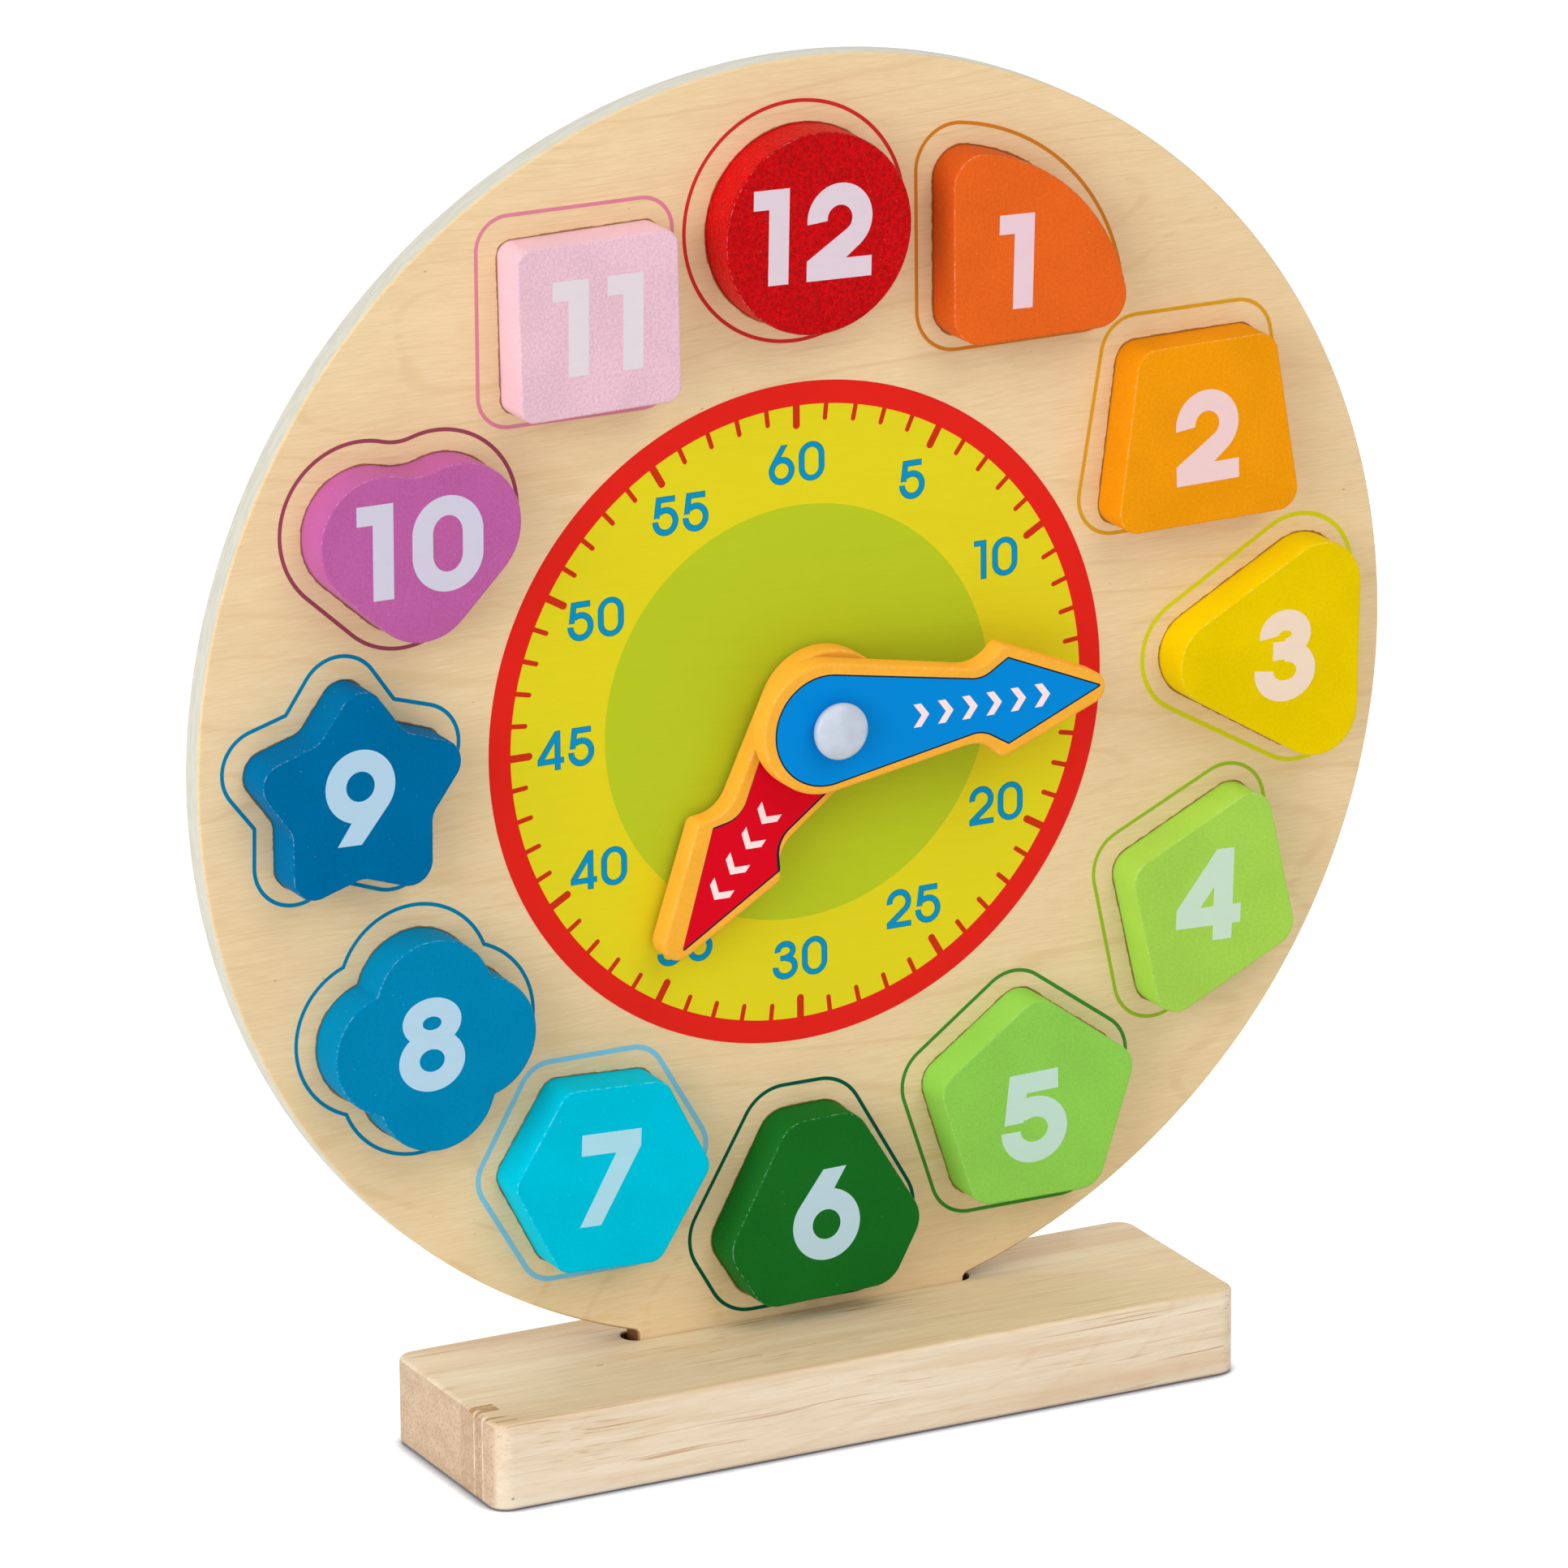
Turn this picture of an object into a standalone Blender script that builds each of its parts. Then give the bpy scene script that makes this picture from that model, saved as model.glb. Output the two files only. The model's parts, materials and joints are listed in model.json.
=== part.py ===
"""Wooden teaching clock: a round board on a stand, two turning hands and twelve lift-out number blocks.

Lengths are in metres and angles in degrees. Z is up, the clock faces -Y, and X runs to its right.
The stand rests on Z = 0, centred under the round board in X and on its own depth in Y.
"""
import math

import bmesh
import bpy
import numpy as np
from mathutils import Matrix

# Gaps and facets that every piece shares
SEAT_GAP = 0.0003
CUT_OVERRUN = 0.002
FACET_DEPTH = 0.00007
ROUNDING_STEPS = 2

# Stand: a planed block of pine with a routed slot for the board's tab
STAND_LENGTH = 0.184
STAND_DEPTH = 0.0522
STAND_HEIGHT = 0.020
STAND_CORNER_RADIUS = 0.0045
STAND_EDGE_RADIUS = 0.0009
SLOT_DEPTH = 0.013
SLOT_END_GAP = 0.0026

# Clock board: a sawn face panel glued to a thin backing panel, both with the same tab. Its rim lies
# outside the ring that the number blocks stand on, and its lowest edge dips into the stand with the tab.
NUMBER_RING_RADIUS = 0.1105
RIM_WIDTH = 0.0345
DISC_DIP = 0.0042
PANEL_THICKNESS = 0.0036
BACKING_THICKNESS = 0.0025
PANEL_EDGE_RADIUS = 0.0006
TAB_WIDTH = 0.0812
TAB_CORNER_RADIUS = 0.001
TAB_FILLET_RADIUS = 0.0015
FACE_SETBACK = 0.0078
WORK_SHIFT = 0.0013
DIAL_DROP = 0.0023

# Pivot: a domed rivet through both hands and both panels, with a cap pressed on behind. The board is drilled
# a little to the right of and above the middle of its printed dial.
PIVOT_ASIDE = 0.0014
PIVOT_RISE = 0.0006
SHAFT_RADIUS = 0.003
BORE_CLEARANCE = 0.0003
RIVET_HEAD_RADIUS = 0.0064
RIVET_FOOT_RADIUS = 0.0052
RIVET_FOOT_HEIGHT = 0.0024
RIVET_CROWN_HEIGHT = 0.0024
REAR_CAP_RADIUS = 0.0065
REAR_CAP_HEIGHT = 0.0034
REAR_CAP_FLOOR = 0.0012
WASHER_RADIUS = 0.008
WASHER_THICKNESS = 0.0007

# Hands: flat arrows with a round hub, a drawn-in neck and a barbed head. They are drilled after sawing, so
# a bore lies aside from the hub's middle, to the hand's own right and towards its tip.
HAND_THICKNESS = 0.0062
HAND_EDGE_RADIUS = 0.001
HUB_RADIUS = 0.0148
NECK_HALF_WIDTH = 0.0087
NECK_RADIUS = 0.0084
BARB_HALF_WIDTH = 0.0126
BARB_RADIUS = 0.0019
BARB_SLOPE = 46.2
TIP_RADIUS = 0.0038
MINUTE_LENGTH = 0.0694
MINUTE_BARB_DISTANCE = 0.0444
MINUTE_BORE_ASIDE = 0.0001
MINUTE_BORE_ALONG = 0.0025
MINUTE_ANGLE = 90.3
HOUR_LENGTH = 0.0635
HOUR_BARB_DISTANCE = 0.0362
HOUR_BORE_ASIDE = 0.0017
HOUR_BORE_ALONG = 0.002
HOUR_ANGLE = 218.5

# Number blocks: they stand out of their pockets and lie on the backing panel
BLOCK_STAND_OUT = 0.0099
BLOCK_EDGE_RADIUS = 0.0009
POCKET_CLEARANCE = 0.0004
CIRCLE_RADIUS = 0.0224
QUARTER_RADIUS = 0.0433
QUARTER_CORNER_RADIUS = 0.007
TRAPEZOID_HEIGHT = 0.0413
TRAPEZOID_FOOT_WIDTH = 0.0464
TRAPEZOID_TOP_WIDTH = 0.0341
TRAPEZOID_CORNER_RADIUS = 0.0049
TRIANGLE_REACH = 0.0269
TRIANGLE_CORNER_RADIUS = 0.0102
RHOMBUS_SIDE_LENGTH = 0.03805
RHOMBUS_CORNER_RADIUS = 0.0057
RHOMBUS_ACUTE_ANGLE = 76.7
RHOMBUS_TILT = 25.8
PENTAGON_REACH = 0.0249
PENTAGON_CORNER_RADIUS = 0.0059
CUT_TRIANGLE_LONG_REACH = 0.019
CUT_TRIANGLE_SHORT_REACH = 0.02335
CUT_TRIANGLE_CORNER_RADIUS = 0.0074
HEXAGON_HALF_HEIGHT = 0.0209
HEXAGON_CORNER_RADIUS = 0.0043
HEXAGON_TILT = -2.8
FLOWER_LOBE_RADIUS = 0.01395
FLOWER_LOBE_OFFSET = 0.01
FLOWER_NOTCH_RADIUS = 0.0008
STAR_TIP_DISTANCE = 0.0243
STAR_TIP_RADIUS = 0.0053
STAR_NOTCH_DISTANCE = 0.0176
STAR_NOTCH_RADIUS = 0.0051
HEART_LOBE_RADIUS = 0.0145
HEART_LOBE_OFFSET = 0.0091
HEART_TIP_RADIUS = 0.0128
HEART_TIP_DROP = 0.011
HEART_NOTCH_RADIUS = 0.016
SQUARE_SIDE_LENGTH = 0.0382
SQUARE_CORNER_RADIUS = 0.0034

# Where each block sits from the middle of the dial, to the right and up, as shares of the number ring's radius
BLOCK_PLACE_SHARES = {
    "block_01_quarter_round": (0.3044, 0.7276),
    "block_02_trapezoid": (0.8768, 0.4813),
    "block_03_triangle": (1.0592, -0.0059),
    "block_04_rhombus": (0.8952, -0.5074),
    "block_05_pentagon": (0.4908, -0.8756),
    "block_06_cut_triangle": (0.0088, -1.0275),
    "block_07_hexagon": (-0.4618, -0.8658),
    "block_08_flower": (-0.8429, -0.5298),
    "block_09_star": (-0.9907, -0.0063),
    "block_10_heart": (-0.8556, 0.5087),
    "block_11_square": (-0.4687, 0.8730),
    "block_12_circle": (0.0080, 0.9981),
}

# How far each block and its pocket are turned anticlockwise, in degrees
BLOCK_TURNS = {
    "block_01_quarter_round": 0.0,
    "block_02_trapezoid": 0.8,
    "block_03_triangle": -1.3,
    "block_04_rhombus": 0.0,
    "block_05_pentagon": -0.4,
    "block_06_cut_triangle": 1.5,
    "block_07_hexagon": 0.0,
    "block_08_flower": 1.1,
    "block_09_star": -0.4,
    "block_10_heart": 1.5,
    "block_11_square": 0.9,
    "block_12_circle": 0.0,
}

# Sizes that follow from the ones above
DISC_RADIUS = NUMBER_RING_RADIUS + RIM_WIDTH
DISC_HEIGHT = STAND_HEIGHT + DISC_RADIUS - DISC_DIP
BOARD_THICKNESS = PANEL_THICKNESS + SEAT_GAP + BACKING_THICKNESS
DIAL_HEIGHT = DISC_HEIGHT - DIAL_DROP
TAB_FOOT_HEIGHT = STAND_HEIGHT - SLOT_DEPTH + SEAT_GAP
FIRST_WASHER_OUT = SEAT_GAP + WASHER_THICKNESS
HOUR_HAND_OUT = FIRST_WASHER_OUT + SEAT_GAP + HAND_THICKNESS
SECOND_WASHER_OUT = HOUR_HAND_OUT + SEAT_GAP + WASHER_THICKNESS
MINUTE_HAND_OUT = SECOND_WASHER_OUT + SEAT_GAP + HAND_THICKNESS
RIVET_SEAT_OUT = MINUTE_HAND_OUT + SEAT_GAP
REAR_CAP_SEAT = BOARD_THICKNESS + SEAT_GAP
BORE_RADIUS = SHAFT_RADIUS + BORE_CLEARANCE


# Outlines. An outline is a belt drawn round pulleys: a pulley is (across, up, signed radius), and the
# radius is negative where the pulley lies outside the piece and hollows it. The belt runs anticlockwise.
def arc_steps(radius, sweep):
    """Facets for an arc, so that none lies deeper inside it than FACET_DEPTH."""
    size = max(abs(radius), FACET_DEPTH)
    facet = 2.0 * math.acos(1.0 - min(FACET_DEPTH / size, 0.5))
    return max(1, math.ceil(sweep / facet - 0.01))


def belt(pulleys, grow=0.0):
    """Points of the belt, moved outwards by grow everywhere. Every grow gives the same number of points."""
    if len(pulleys) == 1:
        across, up, radius = pulleys[0]
        turns = np.linspace(0.0, 2.0 * math.pi, arc_steps(radius, 2.0 * math.pi), endpoint=False)
        size = radius + grow
        return np.stack([across + size * np.cos(turns), up + size * np.sin(turns)], axis=1)
    normals = []
    touching = []
    for (x0, z0, r0), (x1, z1, r1) in zip(pulleys, pulleys[1:] + pulleys[:1]):
        run = math.hypot(x1 - x0, z1 - z0)
        cosine = max(-1.0, min(1.0, (r0 - r1) / run))
        normals.append(math.atan2(z1 - z0, x1 - x0) - math.acos(cosine))
        touching.append(abs(cosine) > 1.0 - 1e-9)
    points = []
    for index, (across, up, radius) in enumerate(pulleys):
        side = 1.0 if radius > 0.0 else -1.0
        sweep = (side * (normals[index] - normals[index - 1])) % (2.0 * math.pi)
        sweep = 0.0 if sweep > 2.0 * math.pi - 1e-6 else sweep
        turns = normals[index - 1] + side * np.linspace(0.0, sweep, arc_steps(radius, sweep) + 1)
        if touching[index]:
            turns = turns[:-1]
        size = radius + grow
        points.append(np.stack([across + size * np.cos(turns), up + size * np.sin(turns)], axis=1))
    return np.concatenate(points)


def turned(pulleys, degrees):
    """The same pulleys turned anticlockwise about the outline's reference point."""
    turn = math.radians(degrees)
    cosine = math.cos(turn)
    sine = math.sin(turn)
    return [(x * cosine - z * sine, x * sine + z * cosine, r) for x, z, r in pulleys]


def rounded_polygon(corners, radius):
    """Pulleys that round each corner of a convex polygon, given anticlockwise, by the same radius."""
    pulleys = []
    for index, corner in enumerate(corners):
        before = np.subtract(corners[index - 1], corner)
        after = np.subtract(corners[(index + 1) % len(corners)], corner)
        before = before / np.hypot(*before)
        after = after / np.hypot(*after)
        half = math.acos(max(-1.0, min(1.0, float(before @ after)))) / 2.0
        inward = (before + after) / np.hypot(*(before + after))
        centre = np.asarray(corner) + inward * radius / math.sin(half)
        pulleys.append((float(centre[0]), float(centre[1]), radius))
    return pulleys


def regular_pulleys(count, reach, radius, first_angle):
    """Pulleys of a regular polygon whose rounded corners reach the given distance from its centre."""
    angles = [math.radians(first_angle + 360.0 * index / count) for index in range(count)]
    return [((reach - radius) * math.cos(a), (reach - radius) * math.sin(a), radius) for a in angles]


# Block shapes, seen from the front
def circle_pulleys():
    return [(0.0, 0.0, CIRCLE_RADIUS)]


def quarter_pulleys():
    """A quarter disc with its square corner at the reference point and all three corners rounded."""
    small = QUARTER_CORNER_RADIUS
    inner = QUARTER_RADIUS - small
    first = math.asin(small / inner)
    sweep = math.pi / 2.0 - 2.0 * first
    steps = arc_steps(QUARTER_RADIUS, sweep)
    turns = [first + sweep * step / steps for step in range(steps + 1)]
    rim = [(inner * math.cos(turn), inner * math.sin(turn), small) for turn in turns]
    return [(small, small, small)] + rim


def trapezoid_pulleys():
    foot = TRAPEZOID_FOOT_WIDTH / 2.0
    top = TRAPEZOID_TOP_WIDTH / 2.0
    rise = TRAPEZOID_HEIGHT / 2.0
    corners = [(-foot, -rise), (foot, -rise), (top, rise), (-top, rise)]
    return rounded_polygon(corners, TRAPEZOID_CORNER_RADIUS)


def triangle_pulleys():
    return regular_pulleys(3, TRIANGLE_REACH, TRIANGLE_CORNER_RADIUS, 180.0)


def rhombus_pulleys():
    turn = math.radians(RHOMBUS_ACUTE_ANGLE)
    along = np.array([RHOMBUS_SIDE_LENGTH / 2.0, 0.0])
    aside = np.array([math.cos(turn), math.sin(turn)]) * RHOMBUS_SIDE_LENGTH / 2.0
    corners = [-along - aside, along - aside, along + aside, aside - along]
    return turned(rounded_polygon(corners, RHOMBUS_CORNER_RADIUS), RHOMBUS_TILT)


def pentagon_pulleys():
    return regular_pulleys(5, PENTAGON_REACH, PENTAGON_CORNER_RADIUS, 90.0)


def cut_triangle_pulleys():
    """A triangle on its long side with the corners cut off, from the reach of its long and short sides."""
    reaches = [CUT_TRIANGLE_LONG_REACH, CUT_TRIANGLE_SHORT_REACH]
    corners = []
    for index in range(6):
        first = math.radians(-90.0 + 60.0 * index)
        second = math.radians(-30.0 + 60.0 * index)
        sides = np.array([[math.cos(first), math.sin(first)], [math.cos(second), math.sin(second)]])
        corners.append(np.linalg.solve(sides, [reaches[index % 2], reaches[(index + 1) % 2]]))
    return rounded_polygon(corners, CUT_TRIANGLE_CORNER_RADIUS)


def hexagon_pulleys():
    reach = HEXAGON_HALF_HEIGHT / math.cos(math.radians(30.0))
    angles = [math.radians(60.0 * index) for index in range(6)]
    corners = [(reach * math.cos(a), reach * math.sin(a)) for a in angles]
    return turned(rounded_polygon(corners, HEXAGON_CORNER_RADIUS), HEXAGON_TILT)


def flower_pulleys():
    """Four round petals, with a small round root in each notch between them."""
    half = FLOWER_LOBE_OFFSET / math.sqrt(2.0)
    reach = FLOWER_LOBE_RADIUS + FLOWER_NOTCH_RADIUS
    notch = half + math.sqrt(reach ** 2 - half ** 2)
    pulleys = []
    for index in range(4):
        petal = math.radians(90.0 * index)
        root = math.radians(90.0 * index + 45.0)
        pulleys.append((FLOWER_LOBE_OFFSET * math.cos(petal), FLOWER_LOBE_OFFSET * math.sin(petal),
                        FLOWER_LOBE_RADIUS))
        pulleys.append((notch * math.cos(root), notch * math.sin(root), -FLOWER_NOTCH_RADIUS))
    return pulleys


def star_pulleys():
    """Five round tips with a hollow between each pair."""
    tip = STAR_TIP_DISTANCE - STAR_TIP_RADIUS
    notch = STAR_NOTCH_DISTANCE + STAR_NOTCH_RADIUS
    pulleys = []
    for index in range(5):
        out = math.radians(90.0 + 72.0 * index)
        between = math.radians(126.0 + 72.0 * index)
        pulleys.append((tip * math.cos(out), tip * math.sin(out), STAR_TIP_RADIUS))
        pulleys.append((notch * math.cos(between), notch * math.sin(between), -STAR_NOTCH_RADIUS))
    return pulleys


def heart_pulleys():
    """Two lobes level with the reference point, a broad round tip below and a shallow dip above."""
    dip = math.sqrt((HEART_LOBE_RADIUS + HEART_NOTCH_RADIUS) ** 2 - HEART_LOBE_OFFSET ** 2)
    return [
        (HEART_LOBE_OFFSET, 0.0, HEART_LOBE_RADIUS),
        (0.0, dip, -HEART_NOTCH_RADIUS),
        (-HEART_LOBE_OFFSET, 0.0, HEART_LOBE_RADIUS),
        (0.0, -HEART_TIP_DROP, HEART_TIP_RADIUS),
    ]


def square_pulleys():
    half = SQUARE_SIDE_LENGTH / 2.0
    corners = [(-half, -half), (half, -half), (half, half), (-half, half)]
    return rounded_polygon(corners, SQUARE_CORNER_RADIUS)


def board_pulleys():
    """The disc with its tab, from the disc's centre: tab corners, hollow fillets, and the disc itself."""
    half = TAB_WIDTH / 2.0
    left = -WORK_SHIFT - half
    right = -WORK_SHIFT + half
    foot = TAB_FOOT_HEIGHT - DISC_HEIGHT
    hollow = DISC_RADIUS + TAB_FILLET_RADIUS
    right_root = right + TAB_FILLET_RADIUS
    left_root = left - TAB_FILLET_RADIUS
    return [
        (left + TAB_CORNER_RADIUS, foot + TAB_CORNER_RADIUS, TAB_CORNER_RADIUS),
        (right - TAB_CORNER_RADIUS, foot + TAB_CORNER_RADIUS, TAB_CORNER_RADIUS),
        (right_root, -math.sqrt(hollow ** 2 - right_root ** 2), -TAB_FILLET_RADIUS),
        (0.0, 0.0, DISC_RADIUS),
        (left_root, -math.sqrt(hollow ** 2 - left_root ** 2), -TAB_FILLET_RADIUS),
    ]


def hand_pulleys(length, barb_distance, bore_aside, bore_along):
    """An arrow that points up, from its bore: hub, necks, barbs and tip, with the right-hand side first.

    The length and the barbs' distance run from the hub's middle. Each neck hollow lies where the barb's back,
    which slopes to the hand's length, runs on into it.
    """
    slope = math.radians(BARB_SLOPE)
    neck_out = NECK_HALF_WIDTH + NECK_RADIUS
    barb_out = BARB_HALF_WIDTH - BARB_RADIUS
    reach = NECK_RADIUS + BARB_RADIUS - (neck_out - barb_out) * math.cos(slope)
    neck_up = barb_distance - reach / math.sin(slope)
    pulleys = [
        (0.0, 0.0, HUB_RADIUS),
        (neck_out, neck_up, -NECK_RADIUS),
        (barb_out, barb_distance, BARB_RADIUS),
        (0.0, length - TIP_RADIUS, TIP_RADIUS),
        (-barb_out, barb_distance, BARB_RADIUS),
        (-neck_out, neck_up, -NECK_RADIUS),
    ]
    return [(x - bore_aside, z - bore_along, radius) for x, z, radius in pulleys]


# Solids
def rounding_rings(radius, face, inward):
    """Steps of a rounded edge: how far each ring is drawn in, and where it lies from the face."""
    rings = []
    for step in range(ROUNDING_STEPS + 1):
        turn = math.pi / 2.0 * step / ROUNDING_STEPS
        rings.append((-radius * (1.0 - math.sin(turn)), face + inward * radius * (1.0 - math.cos(turn))))
    return rings


def plate_mesh(name, pulleys, front, rear, front_radius, rear_radius):
    """A plate facing -Y with the outline of the belt, and with its front and rear edges rounded.

    An edge is rounded no further than the outline's own sharpest corner allows.
    """
    limit = min(radius for across, up, radius in pulleys if radius > 0.0) - FACET_DEPTH
    rings = [(0.0, front)]
    rear_rings = [(0.0, rear)]
    if front_radius > 0.0:
        rings = rounding_rings(min(front_radius, limit), front, 1.0)
    if rear_radius > 0.0:
        rear_rings = rounding_rings(min(rear_radius, limit), rear, -1.0)
    loops = []
    for grow, depth in rings + rear_rings[::-1]:
        line = belt(pulleys, grow)
        loops.append(np.column_stack([line[:, 0], np.full(len(line), depth), line[:, 1]]))
    return loft_mesh(name, loops)


def lay_flat(mesh):
    """Lay a plate down, so that its outline lies in plan and its front-to-rear runs upwards."""
    swap = Matrix(((1.0, 0.0, 0.0), (0.0, 0.0, 1.0), (0.0, 1.0, 0.0)))
    mesh.transform(swap.to_4x4())
    mesh.flip_normals()


def loft_mesh(name, loops):
    """A closed mesh through loops of points, the first and the last of them capped."""
    count = len(loops[0])
    faces = [list(range(count)), [index + count * (len(loops) - 1) for index in range(count)][::-1]]
    for ring in range(len(loops) - 1):
        for index in range(count):
            after = (index + 1) % count
            faces.append([ring * count + after, ring * count + index,
                          (ring + 1) * count + index, (ring + 1) * count + after])
    mesh = bpy.data.meshes.new(name)
    mesh.from_pydata([tuple(point) for point in np.concatenate(loops)], [], faces)
    return mesh


def turned_mesh(name, profile, facets):
    """A body turned about the Y axis, from (radius, depth) points that start and end on the axis."""
    shape = bmesh.new()
    line = [shape.verts.new((radius, depth, 0.0)) for radius, depth in profile]
    edges = [shape.edges.new(pair) for pair in zip(line, line[1:])]
    bmesh.ops.spin(shape, geom=line + edges, cent=(0.0, 0.0, 0.0), axis=(0.0, 1.0, 0.0),
                   angle=2.0 * math.pi, steps=facets, use_merge=True)
    bmesh.ops.remove_doubles(shape, verts=shape.verts, dist=FACET_DEPTH / 10.0)
    bmesh.ops.recalc_face_normals(shape, faces=shape.faces)
    mesh = bpy.data.meshes.new(name)
    shape.to_mesh(mesh)
    shape.free()
    return mesh


def material(name, colour, roughness, metallic=0.0):
    made = bpy.data.materials.new(name)
    made.use_nodes = True
    shader = made.node_tree.nodes["Principled BSDF"]
    shader.inputs["Base Color"].default_value = (*colour, 1.0)
    shader.inputs["Roughness"].default_value = roughness
    shader.inputs["Metallic"].default_value = metallic
    made.diffuse_color = (*colour, 1.0)
    return made


def add_object(name, mesh, parent, finish, location=(0.0, 0.0, 0.0)):
    made = bpy.data.objects.new(name, mesh)
    bpy.context.scene.collection.objects.link(made)
    made.parent = parent
    made.location = location
    mesh.materials.append(finish)
    mesh.shade_smooth()
    mesh.set_sharp_from_angle(angle=math.radians(30.0))
    return made


def add_empty(name, location, parent=None):
    made = bpy.data.objects.new(name, None)
    bpy.context.scene.collection.objects.link(made)
    made.empty_display_size = HUB_RADIUS
    made.parent = parent
    made.location = location
    return made


def cut(target, cutter_name, mesh, location=(0.0, 0.0, 0.0)):
    """Cut a shape out of the target, from a hidden cutter placed in the target's own space."""
    cutter = bpy.data.objects.new(cutter_name, mesh)
    bpy.context.scene.collection.objects.link(cutter)
    cutter.parent = target
    cutter.location = location
    cutter.hide_render = True
    cutter.display_type = "WIRE"
    boolean = target.modifiers.new(cutter_name, "BOOLEAN")
    boolean.operation = "DIFFERENCE"
    boolean.solver = "EXACT"
    boolean.object = cutter


def bore_mesh(name, front, rear):
    """A round cutter for the rivet's shaft that runs past both faces."""
    return plate_mesh(name, [(0.0, 0.0, BORE_RADIUS)], front - CUT_OVERRUN, rear + CUT_OVERRUN, 0.0, 0.0)


# Pieces
def make_stand(finish):
    half_length = STAND_LENGTH / 2.0
    half_depth = STAND_DEPTH / 2.0
    corners = [(-half_length, -half_depth), (half_length, -half_depth),
               (half_length, half_depth), (-half_length, half_depth)]
    mesh = plate_mesh("stand_base", rounded_polygon(corners, STAND_CORNER_RADIUS), 0.0, STAND_HEIGHT,
                      STAND_EDGE_RADIUS, STAND_EDGE_RADIUS)
    lay_flat(mesh)
    stand = add_object("stand_base", mesh, None, finish, (-WORK_SHIFT, 0.0, 0.0))
    slot_radius = BOARD_THICKNESS / 2.0 + SEAT_GAP
    slot_reach = TAB_WIDTH / 2.0 + SLOT_END_GAP - slot_radius
    slot_middle = FACE_SETBACK + BOARD_THICKNESS / 2.0
    slot = [(-slot_reach, slot_middle, slot_radius), (slot_reach, slot_middle, slot_radius)]
    floor = STAND_HEIGHT - SLOT_DEPTH
    cutter = plate_mesh("slot_cutter", slot, floor, STAND_HEIGHT + CUT_OVERRUN, 0.0, 0.0)
    lay_flat(cutter)
    cut(stand, "slot_cutter", cutter)


def make_panels(frame, block_shapes, panel_finish, backing_finish):
    """The face panel with its twelve pockets, and the backing panel that closes them behind."""
    disc_centre = (WORK_SHIFT, 0.0, DIAL_DROP)
    outline = board_pulleys()
    mesh = plate_mesh("face_panel", outline, 0.0, PANEL_THICKNESS, PANEL_EDGE_RADIUS, 0.0)
    panel = add_object("face_panel", mesh, frame, panel_finish, disc_centre)
    to_dial = (-WORK_SHIFT, 0.0, -DIAL_DROP)
    to_pivot = (PIVOT_ASIDE - WORK_SHIFT, 0.0, PIVOT_RISE - DIAL_DROP)
    for name, pulleys in block_shapes.items():
        wide = [(x, z, radius + POCKET_CLEARANCE) for x, z, radius in pulleys]
        pocket = plate_mesh(name + "_pocket", wide, -CUT_OVERRUN, PANEL_THICKNESS + CUT_OVERRUN, 0.0, 0.0)
        x, y, z = block_place(name)
        cut(panel, name + "_pocket", pocket, (x + to_dial[0], y, z + to_dial[2]))
    cut(panel, "face_bore", bore_mesh("face_bore", 0.0, PANEL_THICKNESS), to_pivot)

    front = PANEL_THICKNESS + SEAT_GAP
    mesh = plate_mesh("backing_panel", outline, front, BOARD_THICKNESS, 0.0, PANEL_EDGE_RADIUS)
    backing = add_object("backing_panel", mesh, frame, backing_finish, disc_centre)
    cut(backing, "backing_bore", bore_mesh("backing_bore", front, BOARD_THICKNESS), to_pivot)


def block_place(name):
    across, up = BLOCK_PLACE_SHARES[name]
    return (across * NUMBER_RING_RADIUS, 0.0, up * NUMBER_RING_RADIUS)


def make_blocks(frame, block_shapes, paints):
    for name, pulleys in block_shapes.items():
        mesh = plate_mesh(name, pulleys, -BLOCK_STAND_OUT, PANEL_THICKNESS,
                          BLOCK_EDGE_RADIUS, BLOCK_EDGE_RADIUS)
        add_object(name, mesh, frame, paints[name], block_place(name))


def make_hand(name, frame, pulleys, front_out, angle, finish):
    mesh = plate_mesh(name, pulleys, -front_out, HAND_THICKNESS - front_out, HAND_EDGE_RADIUS, HAND_EDGE_RADIUS)
    hand = add_object(name, mesh, frame, finish)
    hand.rotation_euler = (0.0, math.radians(angle), 0.0)
    cut(hand, name + "_bore", bore_mesh(name + "_bore", -front_out, HAND_THICKNESS - front_out))


def make_washer(name, frame, front_out, finish):
    mesh = plate_mesh(name, [(0.0, 0.0, WASHER_RADIUS)], -front_out, WASHER_THICKNESS - front_out, 0.0, 0.0)
    washer = add_object(name, mesh, frame, finish)
    cut(washer, name + "_bore", bore_mesh(name + "_bore", -front_out, WASHER_THICKNESS - front_out))


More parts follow.
